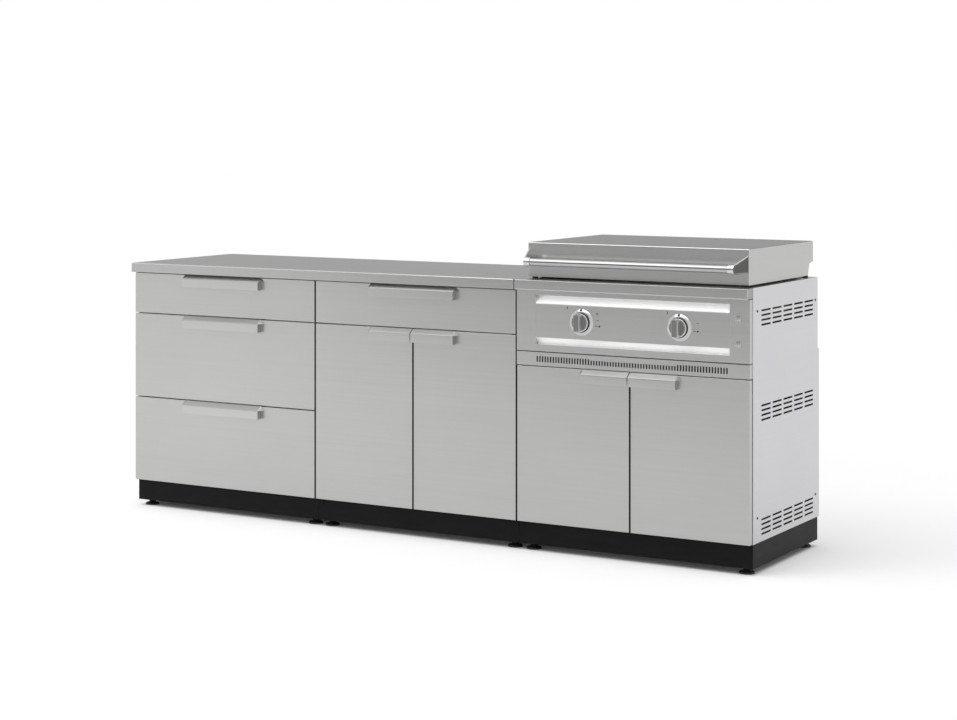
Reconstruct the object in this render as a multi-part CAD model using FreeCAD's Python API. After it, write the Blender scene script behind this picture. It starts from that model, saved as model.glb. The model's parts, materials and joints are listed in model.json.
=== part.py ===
import FreeCAD, Part
import math
import os

# Outdoor kitchen island: a three drawer cabinet, a storage cabinet with one drawer and two doors,
# and a gas griddle cabinet, side by side. All sizes are in millimetres.
# Bench frame used below: x runs right from the left cabinet's side, y runs back from the faces of
# the doors, z runs up from the floor. The finished pieces are moved so that the origin is at the
# centre of the footprint, on the floor.

os.makedirs("parts", exist_ok=True)

# Cabinets
CABINET_W = 812.8           # width of each storage cabinet
GRIDDLE_W = 838.2           # width of the griddle cabinet
FOOT_H = 21.0               # clear height under the plinth
PLINTH_H = 77.0
CARCASS_H = 772.0           # from the plinth to the underside of the worktop
WORKTOP_T = 34.0
WORKTOP_D = 609.6
FRONT_OVERHANG = 19.0       # worktop past the faces of the doors
END_OVERHANG = 2.0
WORKTOP_JOINT = 1.6         # slit between the worktop and the griddle's front trim
WORKTOP_SHEET = 1.5
FRONT_T = 20.0              # thickness of a door or drawer front
FRONT_AIR = 2.5             # air between a front and the carcass
REVEAL = 3.0                # gap between neighbouring fronts
FRONT_LIFT = 0.5            # front bottoms above the carcass floor
BACK_PAN_D = 13.6
SHEET = 1.2                 # carcass sheet
SKIN = 1.0                  # sheet of doors, fronts and back pans
POST = 20.0                 # width of the posts in the cabinet corners
POST_BACK_D = 13.5          # depth of the back posts, which clear the joining bolts
TOP_RAIL_H = 20.0
RAIL_H = 15.0
TUBE_WALL = 1.5             # wall of posts and rails
DEEP_PITCH = 310.0          # height taken by each deep drawer
DOOR_TOP_GRIDDLE = 520.0    # height of the griddle cabinet's door zone
SHELF_Z = 312.0             # shelf top above the carcass floor
SHELF_T = 18.0
SHELF_PLAY = 1.0
SHELF_BRACKET = (14.0, 30.0, 10.0)
SHELF_BRACKET_INSET = 16.0

# Plinth and feet
PLINTH_SHEET = 1.5
PLINTH_SEAM = 0.5           # each plinth stops short of its cabinet's side
FOOT_INSET_X = 36.0
FOOT_INSET_FRONT = 35.0
FOOT_INSET_BACK = 37.0
FOOT_PAD_R = 25.0
FOOT_PAD_RIM = (5.0, 7.0, 8.0)  # heights at the rim, inside its bevel and at the hub
FOOT_PAD_BEVEL = 2.0
FOOT_HUB_R = (15.0, 10.0)
FOOT_NUT_H = 6.0
FOOT_NUT_R = 9.8
FOOT_STEM_R = 5.0
FOOT_STEM_L = 45.0
FOOT_HOLE_PLAY = 0.4

# Bolts that join the cabinets, and the vents of the griddle cabinet's sides
JOIN_INSET_Y = (35.3, 20.2)  # from the carcass's front and back
JOIN_INSET_Z = (78.5, 41.0)  # from the carcass's floor and top
JOIN_HOLE_R = 3.0
JOIN_SHANK_R = 2.9
JOIN_HEAD_R = 5.7
JOIN_HEAD_H = 4.0
VENT_L = 77.0
VENT_H = 6.0
VENT_COLUMNS = 5
VENT_ROWS = 4
VENT_PITCH_Z = 15.2
VENT_INSET_Y = (67.0, 41.3)  # slots from the carcass's front and back
VENT_INSET_Z = (23.0, 120.5)  # first row of the lowest and highest group, from the sheet's ends
VENT_MIDDLE_UP = 29.75      # middle group above the middle of the other two

# Drawers
SLIDE_T = 12.7
SLIDE_H = 45.0
SLIDE_WALL = 1.2
SLIDE_AIR = 0.5             # running gap between the members of a slide
SLIDE_INSET = (1.5, 3.0)    # slide from the carcass's front and back
SLIDE_STAGGER = 2.0         # middle member behind the outer one's front end
SLIDE_MIDDLE_SHORT = 10.0
SLIDE_Z = 35.0              # slide centre above the drawer box floor
BOX_SHEET = 1.2
BOX_LIFT = 22.0             # drawer box floor above the bottom of its front
BOX_DROP = 38.0             # drawer box rim below the top of its front

# Pulls along the top edges of the fronts
PULL_W = 368.0
PULL_T = 1.5
PULL_OUT = 20.5
PULL_DROP = 14.0
PULL_FACE = 30.0
PULL_HIP = 14.0
PULL_FLANGE = 16.0

# Door pivots
PIVOT_X = 6.0               # pin axis from the door's hinged edge
PIVOT_Y = 5.0               # pin axis behind the door's face
PIVOT_R = 2.0
PIVOT_PLAY = 0.06
PIVOT_L = 12.0              # pin length inside the door
PIVOT_END_PLAY = 1.0
PIVOT_BLOCK = (12.0, 13.0, 20.0)
LEAF_T = 1.6
LEAF_AIR = 0.7              # leaf above the door's top
LEAF_SPAN = (3.5, 12.0)
LEAF_FRONT = 1.0
LEAF_TAB_TOP = 9.8
LEAF_TAB_LOW = 25.0

# Griddle deck, firebox and plate
DECK_SHEET = 1.5
DECK_SEAM = 0.8             # front trim stops short of the cabinet's side
DECK_OPENING_X = 44.0       # opening's distance from the cabinet's sides
DECK_OPENING_Y0 = 70.0      # opening's front edge behind the faces of the doors
DECK_OPENING_BACK = 47.0    # opening's back edge in front of the carcass's back
FIREBOX_PLAY = 2.0
FIREBOX_SHEET = 1.2
FIREBOX_FLANGE = 10.0
FIREBOX_FLOOR = 144.0       # firebox floor below the deck's top
BAR_W = 20.0
BAR_H = 6.0
BAR_INSET = (68.0, 48.0)
PLATE_PLAY = 8.0            # plate's distance from the deck opening's edge on each side
PLATE_T = 6.0
PLATE_WALL = 4.0
PLATE_TOP_DROP = 12.0       # cooking face below the deck's top
SPLASH_H = 53.0             # splash walls above the cooking face
TROUGH_W = 34.0
TROUGH_DEPTH = 16.0         # trough floor below the cooking face
TROUGH_LIP = 8.0            # trough's front wall above the cooking face
DRAIN_X = 169.0
DRAIN_R = 11.5
DRAIN_WALL = 1.5
DRAIN_PLAY = 1.0
MOUTH_PLAY = 1.0            # firebox hole around a burner's inlet
DRAIN_END = 5.0             # spout below the firebox floor
TRAY_SIZE = (120.0, 120.0, 52.0)
TRAY_DROP = 8.0             # tray rim below the firebox floor
TRAY_FLANGE = 8.0
TRAY_SHEET = 1.2
TRAY_SIDE_PLAY = 1.0
TRAY_TRAVEL = 100.0

# Burners and gas
ZONE_X = 175.5              # knobs, valves and burners from the cabinet's middle
BURNER_R = 17.0
BURNER_WALL = 1.5
BURNER_CROSS_R = 15.0
BURNER_HALF = 90.0
BURNER_Z = 35.0             # burner axis above the firebox floor
BURNER_INSET_Y = (38.0, 53.0)  # legs from the firebox's front and back
BURNER_MOUTH_OUT = 2.0      # inlet in front of the firebox
BURNER_FOOT = 20.0
BURNER_FOOT_INSET = 40.0    # feet from the legs' ends
PORT_COUNT = 12
PORT_PITCH = 26.0
PORT_W = 1.6
PORT_DEPTH = 3.0
MANIFOLD_R = 10.65
MANIFOLD_Y = 54.0
MANIFOLD_DROP = 28.65       # pipe axis below the knob axis
MANIFOLD_INSET = (60.0, 58.2)  # pipe's end and its turn from the cabinet's sides
MANIFOLD_BRACKET_X = 120.0
MANIFOLD_BRACKET_T = 3.0
MANIFOLD_BRACKET_LAP = 20.0  # bracket's lap on the firebox's front
INLET_R = 7.94
INLET_L = 11.5
INLET_AIR = 0.5             # end of the pipe behind the back sheet
INLET_PLAY = 1.5            # back sheet's hole around the pipe
VALVE_W = 30.0
VALVE_Y = (38.0, 66.0)
VALVE_TOP = 36.0            # valve body above the knob axis
ORIFICE_R = 5.0
ORIFICE_L = 14.0

# Control panel
PANEL_SHEET = 1.5
PANEL_MARGIN = 1.5          # panel's ends inside the cabinet's sides
TRIM_AIR = 1.5              # panel below the deck's trim
VENT_STRIP_H = 43.5
GROOVE_D = 20.0
GROOVE_H = (25.5, 29.0)     # lower and upper groove
GROOVE_MARGIN = (22.5, 15.0)  # grooves from the panel's lower and upper edge
GROOVE_INSET = (72.0, 69.7)
STRIP_SLOTS = (20, 31, 18)  # tall, short and tall slots
STRIP_SLOT_PITCH = 10.0
STRIP_SLOT_W = 5.0
STRIP_SLOT_H = (19.5, 15.0)
STRIP_SLOT_Z = 12.5         # slot bottoms above the strip's bottom

# Knobs and buttons
BEZEL_R = (32.0, 44.0)
BEZEL_T = 6.0
BEZEL_CHAMFER = 2.5
KNOB_R = 30.5
KNOB_BACK = 5.0             # knob's back in front of the panel
KNOB_T = 12.0
KNOB_EDGE = 2.0
GRIP_W = 22.0
GRIP_L = 56.0
GRIP_T = 22.0
GRIP_EDGE = 3.0
STEM_R = 4.0
STEM_PLAY = 0.07
STEM_IN_KNOB = 9.0
STEM_IN_VALVE = 10.0
STEM_TRAVEL = 3.0
STEM_END_PLAY = 1.0
STEM_HOLE_R = 6.0
CLIP_R = 7.0
CLIP_T = 1.5
CLIP_Y = 22.0
WASHER_R = 9.0
WASHER_T = 2.0
BUTTON_X = 39.5             # button centres from the cabinet's right side
BUTTON_Z = 40.0             # button centres above and below the knob axis
BUTTON_W = 20.0
BUTTON_CORNER = 3.0
BUTTON_OUT = 3.0
BUTTON_DEPTH = 6.0
BUTTON_PLAY = 0.3
BUTTON_TRAVEL = 3.0
BUTTON_STEM_R = 3.0
BUTTON_STEM_L = 18.0
HOUSING_W = 30.0
HOUSING_D = 30.0
HOUSING_POCKET = 12.0

# Lid
LID_INSET = 20.0            # lid inside the cabinet's sides
LID_FRONT_Y = 43.0
LID_BACK_INSET = 3.6        # lid's back in front of the worktop's back
LID_GAP = 6.5               # lid's lower edge above the deck
LID_H = 114.5
LID_SHEET = 1.2
LID_BEND = 4.0
LID_NOTCH = ((0.0, 46.5), (33.0, 39.5), (45.0, 6.5))  # from the lid's back, and above its lower edge
HINGE_INSET = 27.0          # hinge axis in front of the lid's back
HINGE_Z = 31.0              # above the deck
HINGE_X = 60.0              # ear's face inside the cabinet's sides
HINGE_T = 3.0
HINGE_AIR = 0.3
HINGE_PIN_R = 4.0
HINGE_PLAY = 0.07
HINGE_PIN_L = 16.0
HINGE_FOOT = 24.0
EAR_R = 15.0                # ear's half width at the pin
EAR_DROP = 10.0             # ear below the pin, and upright above it
EAR_WELD = 43.0             # ear's height along the lid's back
REST_PAD = 14.0
REST_PAD_INSET = 17.0       # front pads inside the lid's sides
HANDLE_R = 12.5
HANDLE_OUT = 61.0           # handle axis in front of the lid's face
HANDLE_Z = 52.5             # handle axis above the lid's lower edge
HANDLE_WALL = 1.5
HANDLE_END = 40.0           # handle's ends inside the cabinet's sides
COLLAR_R = 15.0
COLLAR_L = 14.0
BRACKET_FOOT = (37.0, 95.0)  # bracket's foot on the lid, above the lid's lower edge
BRACKET_T = 5.0
BRACKET_NOSE_R = 16.0       # rounding of the bracket at the handle
BRACKET_NOSE_L = 11.0
BRACKET_RIM = 3.5
BRACKET_DISH = 2.0
BRACKET_INSET = 3.0         # bracket's foot inside the lid's side

# Shape making
THROUGH = 1.0               # how far shapes that are cut or joined reach past each other
TINY = 1e-6

# Places worked out from the sizes
CARCASS_Z = FOOT_H + PLINTH_H
WORKTOP_Z0 = CARCASS_Z + CARCASS_H
WORKTOP_Z1 = WORKTOP_Z0 + WORKTOP_T
CARCASS_Y0 = FRONT_T + FRONT_AIR
WORKTOP_Y1 = WORKTOP_D - FRONT_OVERHANG
CARCASS_Y1 = WORKTOP_Y1 - BACK_PAN_D
DRAWER_X = 0.0
STORAGE_X = CABINET_W
GRIDDLE_X = 2 * CABINET_W
ISLAND_X1 = GRIDDLE_X + GRIDDLE_W
GRIDDLE_MID = GRIDDLE_X + GRIDDLE_W / 2
WIDTHS = {DRAWER_X: CABINET_W, STORAGE_X: CABINET_W, GRIDDLE_X: GRIDDLE_W}
LINE_1 = CARCASS_Z + DEEP_PITCH
LINE_2 = CARCASS_Z + 2 * DEEP_PITCH
DOOR_LINE = CARCASS_Z + DOOR_TOP_GRIDDLE
STRIP_LINE = DOOR_LINE + REVEAL + VENT_STRIP_H
PANEL_ENDS_Z = (STRIP_LINE + REVEAL, WORKTOP_Z0 - TRIM_AIR)
GROOVE_STEPS_Z = (PANEL_ENDS_Z[0] + GROOVE_MARGIN[0], PANEL_ENDS_Z[1] - GROOVE_MARGIN[1])
PLATEAU_Z = (GROOVE_STEPS_Z[0] + GROOVE_H[0], GROOVE_STEPS_Z[1] - GROOVE_H[1])
PANEL_Z = (PLATEAU_Z[0] + PLATEAU_Z[1]) / 2
SLIDE_Y = (CARCASS_Y0 + SLIDE_INSET[0], CARCASS_Y1 - SLIDE_INSET[1])
SLIDE_L = SLIDE_Y[1] - SLIDE_Y[0]
DECK_OPENING_Y = (DECK_OPENING_Y0, CARCASS_Y1 - DECK_OPENING_BACK)
FIREBOX_Y = (DECK_OPENING_Y[0] + FIREBOX_PLAY, DECK_OPENING_Y[1] - FIREBOX_PLAY)
BURNER_Y = (FIREBOX_Y[0] + BURNER_INSET_Y[0], FIREBOX_Y[1] - BURNER_INSET_Y[1])
FIREBOX_Z = WORKTOP_Z1 - FIREBOX_FLOOR
COOK_Z = WORKTOP_Z1 - PLATE_TOP_DROP
LID_Z0 = WORKTOP_Z1 + LID_GAP
LID_Z1 = LID_Z0 + LID_H
LID_REAR_Y = WORKTOP_Y1 - LID_BACK_INSET
LID_X = (GRIDDLE_X + LID_INSET, ISLAND_X1 - LID_INSET)
HANDLE_Y = LID_FRONT_Y - HANDLE_OUT
HANDLE_AXIS_Z = LID_Z0 + HANDLE_Z
MANIFOLD_Z = PANEL_Z - MANIFOLD_DROP
BURNER_AXIS_Z = FIREBOX_Z + BURNER_Z
FRONT_MOST = HANDLE_Y - BRACKET_NOSE_R
ORIGIN = FreeCAD.Vector((ISLAND_X1 - END_OVERHANG) / 2, (FRONT_MOST + WORKTOP_Y1) / 2, 0)


# Shape helpers
def vec(x, y, z):
    return FreeCAD.Vector(x, y, z)


def box(x0, x1, y0, y1, z0, z1):
    return Part.makeBox(x1 - x0, y1 - y0, z1 - z0, vec(x0, y0, z0))


def rod(radius, start, end):
    along = end - start
    return Part.makeCylinder(radius, along.Length, start, along)


def tube(radius, wall, start, end):
    return rod(radius, start, end).cut(rod(radius - wall, start, end))


def hex_bar(radius, start, end):
    along = end - start
    side = vec(0, 0, 1) if abs(along.z) < abs(along.x) + abs(along.y) else vec(1, 0, 0)
    across = along.cross(side).normalize()
    other = along.cross(across).normalize()
    corners = []
    for i in range(6):
        turn = math.pi / 3 * i
        corners.append(start + across * radius * math.cos(turn) + other * radius * math.sin(turn))
    return Part.Face(Part.makePolygon(corners + corners[:1])).extrude(along)


def profile_x(points, x0, x1):
    """A prism along x whose section is a list of (y, z) points."""
    corners = [vec(x0, y, z) for y, z in points]
    return Part.Face(Part.makePolygon(corners + corners[:1])).extrude(vec(x1 - x0, 0, 0))


def rounded_bar_y(x, z, width, corner, y0, y1):
    """A square bar along y with rounded corners."""
    half = width / 2
    bar = box(x - half, x + half, y0, y1, z - half, z + half)
    edges = [e for e in bar.Edges if abs(e.Vertexes[0].Y - e.Vertexes[1].Y) > TINY]
    return bar.makeFillet(corner, edges)


def polyhedron(points, faces):
    walls = [Part.Face(Part.makePolygon([points[i] for i in f + f[:1]])) for f in faces]
    solid = Part.Solid(Part.Shell(walls))
    if solid.Volume < 0:
        solid.reverse()
    return solid


def edges_at_y(shape, y):
    """Edges that lie in the plane at y."""
    return [e for e in shape.Edges if max(abs(e.BoundBox.YMin - y), abs(e.BoundBox.YMax - y)) < TINY]


def mirrored(shape, x):
    return shape.mirror(vec(x, 0, 0), vec(1, 0, 0))


def both_sides(shape, x):
    return [shape, mirrored(shape, x)]


def save(name, shapes):
    """Writes one node: its solids, moved from the bench frame to the part's own frame."""
    solids = [s for shape in shapes for s in shape.Solids]
    placed = [s.translated(-ORIGIN) for s in solids]
    whole = placed[0] if len(placed) == 1 else Part.makeCompound(placed)
    whole.exportStep("parts/" + name + ".step")


# Carcasses
def side_sheet(x, top):
    return box(x, x + SHEET, CARCASS_Y0, CARCASS_Y1, CARCASS_Z, top)


def join_points():
    ys = (CARCASS_Y0 + JOIN_INSET_Y[0], CARCASS_Y1 - JOIN_INSET_Y[1])
    zs = (CARCASS_Z + JOIN_INSET_Z[0], WORKTOP_Z0 - JOIN_INSET_Z[1])
    return [(y, z) for y in ys for z in zs]


def join_holes(x):
    ends = (x - SHEET, x + 2 * SHEET)
    return [rod(JOIN_HOLE_R, vec(ends[0], y, z), vec(ends[1], y, z)) for y, z in join_points()]


def plain_sides():
    sides = []
    for x0 in (DRAWER_X, STORAGE_X):
        for x in (x0, x0 + CABINET_W - SHEET):
            sides.append(side_sheet(x, WORKTOP_Z0).cut(join_holes(x)))
    return sides


def vent_slot(x, y, z):
    """One slot through a side sheet, with round ends."""
    half = VENT_H / 2
    a, b = y + half, y + VENT_L - half
    low, high = z - half, z + half
    edges = [
        Part.LineSegment(vec(x, a, low), vec(x, b, low)).toShape(),
        Part.Arc(vec(x, b, low), vec(x, b + half, z), vec(x, b, high)).toShape(),
        Part.LineSegment(vec(x, b, high), vec(x, a, high)).toShape(),
        Part.Arc(vec(x, a, high), vec(x, a - half, z), vec(x, a, low)).toShape(),
    ]
    return Part.Face(Part.Wire(edges)).extrude(vec(3 * SHEET, 0, 0))


def vent_places():
    """The front end and the middle height of each slot."""
    first, last = CARCASS_Y0 + VENT_INSET_Y[0], CARCASS_Y1 - VENT_INSET_Y[1] - VENT_L
    low, high = CARCASS_Z + VENT_INSET_Z[0], WORKTOP_Z1 - VENT_INSET_Z[1]
    groups = (low, (low + high) / 2 + VENT_MIDDLE_UP, high)
    pitch = (last - first) / (VENT_COLUMNS - 1)
    return [
        (first + column * pitch, group + row * VENT_PITCH_Z)
        for group in groups
        for row in range(VENT_ROWS)
        for column in range(VENT_COLUMNS)
    ]


def vented_sides():
    sides = []
    for x in (GRIDDLE_X, ISLAND_X1 - SHEET):
        slots = [vent_slot(x - SHEET, y, z) for y, z in vent_places()]
        sides.append(side_sheet(x, WORKTOP_Z1).cut(slots + join_holes(x)))
    return sides


def joining_bolts():
    bolts = []
    for x in (STORAGE_X, GRIDDLE_X):
        for y, z in join_points():
            grip = (vec(x - SHEET, y, z), vec(x + SHEET, y, z))
            ends = (vec(x - SHEET - JOIN_HEAD_H, y, z), vec(x + SHEET + JOIN_HEAD_H, y, z))
            heads = [hex_bar(JOIN_HEAD_R, ends[0], grip[0]), hex_bar(JOIN_HEAD_R, grip[1], ends[1])]
            bolts.append(rod(JOIN_SHANK_R, *ends).fuse(heads))
    return bolts


def square_tube(x0, x1, y0, y1, z0, z1, along):
    """A box section along "x" or "z", open at its ends."""
    w = TUBE_WALL
    if along == "x":
        inner = box(x0, x1, y0 + w, y1 - w, z0 + w, z1 - w)
    else:
        inner = box(x0 + w, x1 - w, y0 + w, y1 - w, z0, z1)
    return box(x0, x1, y0, y1, z0, z1).cut(inner)


def deck_underside():
    return WORKTOP_Z1 - DECK_SHEET


def frame_top(x0):
    return deck_underside() if x0 == GRIDDLE_X else WORKTOP_Z0


def rail_heights(x0):
    """Heights of the front rails' middles: each backs the gap between two fronts."""
    return {DRAWER_X: (LINE_1, LINE_2), STORAGE_X: (LINE_2,), GRIDDLE_X: (DOOR_LINE,)}[x0]


def frame_members():
    pieces = []
    for x0, width in WIDTHS.items():
        left, right = x0 + SHEET, x0 + width - SHEET
        top = frame_top(x0)
        front = (CARCASS_Y0, CARCASS_Y0 + POST)
        back = (CARCASS_Y1 - POST_BACK_D, CARCASS_Y1)
        for a, b in ((left, left + POST), (right - POST, right)):
            for y0, y1 in (front, back):
                pieces.append(square_tube(a, b, y0, y1, CARCASS_Z + SHEET, top, "z"))
        a, b = left + POST, right - POST
        for y0, y1 in (front, back):
            pieces.append(square_tube(a, b, y0, y1, top - TOP_RAIL_H, top, "x"))
        for z in rail_heights(x0):
            pieces.append(square_tube(a, b, *front, z - RAIL_H / 2, z + RAIL_H / 2, "x"))
    return pieces


def floor_panels():
    return [
        box(x0 + SHEET, x0 + width - SHEET, CARCASS_Y0, CARCASS_Y1, CARCASS_Z, CARCASS_Z + SHEET)
        for x0, width in WIDTHS.items()
    ]


def back_pan(x0, x1, top):
    """A shallow pan behind a cabinet, open towards its inside."""
    outer = box(x0, x1, CARCASS_Y1, WORKTOP_Y1, CARCASS_Z, top)
    inner = box(x0 + SKIN, x1 - SKIN, CARCASS_Y1, WORKTOP_Y1 - SKIN, CARCASS_Z + SKIN, top - SKIN)
    return outer.cut(inner)


def back_panels():
    upper = box(GRIDDLE_X, ISLAND_X1, CARCASS_Y1, CARCASS_Y1 + SHEET, STRIP_LINE, WORKTOP_Z1)
    inlet = inlet_start()
    hole = rod(MANIFOLD_R + INLET_PLAY, inlet - vec(0, 2 * SHEET + INLET_AIR, 0), inlet + vec(0, THROUGH, 0))
    return [
        back_pan(DRAWER_X, DRAWER_X + CABINET_W, WORKTOP_Z0),
        back_pan(STORAGE_X, STORAGE_X + CABINET_W, WORKTOP_Z0),
        back_pan(GRIDDLE_X, ISLAND_X1, STRIP_LINE),
        upper.cut(hole),
    ]


def shelf():
    """A folded shelf in the storage cabinet, on four brackets."""
    x0, x1 = STORAGE_X + SHEET + SHELF_PLAY, STORAGE_X + CABINET_W - SHEET - SHELF_PLAY
    y0, y1 = CARCASS_Y0 + POST + SHELF_PLAY, CARCASS_Y1 - POST_BACK_D - SHELF_PLAY
    z1 = CARCASS_Z + SHELF_Z
    z0 = z1 - SHELF_T
    tray = box(x0, x1, y0, y1, z0, z1)
    tray = tray.cut(box(x0 + SKIN, x1 - SKIN, y0 + SKIN, y1 - SKIN, z0, z1 - SKIN))
    wide, deep, high = SHELF_BRACKET
    pieces = [tray]
    for y in (y0 + SHELF_BRACKET_INSET, y1 - SHELF_BRACKET_INSET - deep):
        bracket = box(STORAGE_X + SHEET, STORAGE_X + SHEET + wide, y, y + deep, z0 - high, z0)
        pieces += both_sides(bracket, STORAGE_X + CABINET_W / 2)
    return pieces


# Plinths and feet
def foot_places():
    ys = (CARCASS_Y0 + FOOT_INSET_FRONT, CARCASS_Y1 - FOOT_INSET_BACK)
    return [
        (x, y)
        for x0, width in WIDTHS.items()
        for x in (x0 + FOOT_INSET_X, x0 + width - FOOT_INSET_X)
        for y in ys
    ]


def plinths():
    pieces = []
    w = PLINTH_SHEET
    holes = [rod(FOOT_STEM_R + FOOT_HOLE_PLAY, vec(x, y, 0), vec(x, y, CARCASS_Z)) for x, y in foot_places()]
    for x0, width in WIDTHS.items():
        a, b = x0 + PLINTH_SEAM, x0 + width - PLINTH_SEAM
        tray = box(a, b, CARCASS_Y0, CARCASS_Y1, FOOT_H, CARCASS_Z)
        hollow = box(a + w, b - w, CARCASS_Y0 + w, CARCASS_Y1 - w, FOOT_H + w, CARCASS_Z)
        pieces.append(tray.cut(hollow).cut(holes))
    return pieces


def foot_pad(x, y):
    hub_z = FOOT_H - FOOT_NUT_H
    outline = [
        (0, 0),
        (FOOT_PAD_R, 0),
        (FOOT_PAD_R, FOOT_PAD_RIM[0]),
        (FOOT_PAD_R - FOOT_PAD_BEVEL, FOOT_PAD_RIM[1]),
        (FOOT_HUB_R[0], FOOT_PAD_RIM[2]),
        (FOOT_HUB_R[1], hub_z),
        (0, hub_z),
    ]
    corners = [vec(x + r, y, z) for r, z in outline]
    return Part.Face(Part.makePolygon(corners + corners[:1])).revolve(vec(x, y, 0), vec(0, 0, 1), 360)


def foot_stem(x, y):
    z = FOOT_H - FOOT_NUT_H
    stem = rod(FOOT_STEM_R, vec(x, y, z), vec(x, y, z + FOOT_STEM_L))
    return stem.fuse(hex_bar(FOOT_NUT_R, vec(x, y, z), vec(x, y, FOOT_H)))


# Worktop
def worktop_ends():
    return -END_OVERHANG, GRIDDLE_X + DECK_SEAM - WORKTOP_JOINT


def worktop_core():
    w = WORKTOP_SHEET
    x0, x1 = worktop_ends()
    return box(x0 + w, x1 - w, w - FRONT_OVERHANG, WORKTOP_Y1 - w, WORKTOP_Z0, WORKTOP_Z1 - w)


def worktop_sheet():
    x0, x1 = worktop_ends()
    return box(x0, x1, -FRONT_OVERHANG, WORKTOP_Y1, WORKTOP_Z0, WORKTOP_Z1).cut(worktop_core())


# Fronts and their pulls
def front_pan(x0, x1, z0, z1):
    """A folded outer pan and the liner that closes its back."""
    pan = box(x0, x1, 0, FRONT_T, z0, z1)
    inside = (x0 + SKIN, x1 - SKIN)
    pan = pan.cut(box(*inside, SKIN, FRONT_T, z0 + SKIN, z1 - SKIN))
    liner = box(*inside, FRONT_T - SKIN, FRONT_T, z0 + SKIN, z1 - SKIN)
    return [pan, liner]


def pull_wedge(ends, hips, top, low, out):
    """The solid under a pull's sloping web; a hipped end slopes down to the front's face too."""
    x0, x1 = ends
    a, b = x0 + hips[0], x1 - hips[1]
    points = [
        vec(a, 0, top), vec(b, 0, top), vec(a, -out, low), vec(b, -out, low), vec(x0, 0, low), vec(x1, 0, low)
    ]
    faces = [[0, 1, 3, 2], [0, 2, 4], [1, 5, 3], [2, 3, 5, 4], [0, 4, 5, 1]]
    if hips[0] == 0:
        points[4] = vec(a, 0, low)
    return polyhedron(points, faces)


def pull(x0, x1, hip0, hip1, top):
    """A sheet pull hooked over the top edge of a front, open below for the fingers."""
    low = top - PULL_DROP
    rise = PULL_DROP + PULL_T
    slope = math.atan2(rise, PULL_OUT)
    hips = (PULL_HIP * hip0, PULL_HIP * hip1)
    outer = pull_wedge((x0, x1), hips, top + PULL_T, low, PULL_OUT)
    normal = vec(PULL_OUT * rise, rise * PULL_HIP, -PULL_OUT * PULL_HIP)
    hip_wall = PULL_T * normal.Length / normal.x
    square0, square1 = THROUGH * (1 - hip0), THROUGH * (1 - hip1)
    inner_ends = (x0 + hip_wall * hip0 - square0, x1 - hip_wall * hip1 + square1)
    inner_top = top + PULL_T - PULL_T / math.cos(slope)
    inner = pull_wedge(inner_ends, hips, inner_top, low, PULL_OUT - PULL_T / math.sin(slope))
    a, b = x0 + hips[0], x1 - hips[1]
    face = box(a, b, -PULL_OUT, PULL_T - PULL_OUT, low - PULL_FACE, low)
    flange = box(a, b, 0, PULL_FLANGE, top, top + PULL_T)
    return outer.cut(inner).fuse([face, flange]).removeSplitter()


# Drawers
DRAWERS = {
    "bottom_drawer": (DRAWER_X, CARCASS_Z, LINE_1),
    "middle_drawer": (DRAWER_X, LINE_1, LINE_2),
    "top_drawer": (DRAWER_X, LINE_2, WORKTOP_Z0),
    "storage_drawer": (STORAGE_X, LINE_2, WORKTOP_Z0),
}


def front_heights(low, high):
    """A front's bottom and top inside its zone."""
    z0 = low + (FRONT_LIFT if low == CARCASS_Z else REVEAL / 2)
    z1 = high - (REVEAL if high == WORKTOP_Z0 else REVEAL / 2)
    return z0, z1


def front_ends(x0, width):
    return x0 + REVEAL / 2, x0 + width - REVEAL / 2


def channel(x, reach, half_h, y0, y1):
    """A C section along y: its web is at x and its lips reach from there."""
    w = SLIDE_WALL if reach > 0 else -SLIDE_WALL
    ends = sorted((x, x + reach))
    whole = box(*ends, y0, y1, -half_h, half_h)
    hollow = sorted((x + w, x + reach))
    return whole.cut(box(*hollow, y0, y1, SLIDE_WALL - half_h, half_h - SLIDE_WALL))


def slide_members(x0, z):
    """Outer, middle and inner members of a left-hand slide, each with its mirror image."""
    face = x0 + SHEET + POST
    y0 = SLIDE_Y[0]
    nested = SLIDE_WALL + SLIDE_AIR
    lip = SLIDE_T - SLIDE_WALL - 2 * SLIDE_AIR - SLIDE_WALL
    half = SLIDE_H / 2
    outer = channel(face, lip, half, *SLIDE_Y)
    middle_y = (y0 + SLIDE_STAGGER, SLIDE_Y[1] - SLIDE_MIDDLE_SHORT)
    middle = channel(face + nested, lip - nested, half - nested, *middle_y)
    inner = channel(face + SLIDE_T, 2 * nested - SLIDE_T, half - 2 * nested, FRONT_T, FRONT_T + SLIDE_L)
    middle_x = x0 + WIDTHS[x0] / 2
    return [both_sides(m.translated(vec(0, 0, z)), middle_x) for m in (outer, middle, inner)]


def drawer_box(x0, z0, z1):
    """Sides, back, inner front and floor of a drawer, as flat sheets."""
    inset = SHEET + POST + SLIDE_T
    a, b = x0 + inset, x0 + WIDTHS[x0] - inset
    y0, y1 = FRONT_T, FRONT_T + SLIDE_L
    w = BOX_SHEET
    return [
        box(a, a + w, y0, y1, z0, z1),
        box(b - w, b, y0, y1, z0, z1),
        box(a + w, b - w, y1 - w, y1, z0, z1),
        box(a + w, b - w, y0, y0 + w, z0, z1),
        box(a + w, b - w, y0 + w, y1 - w, z0, z0 + w),
    ]


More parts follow.
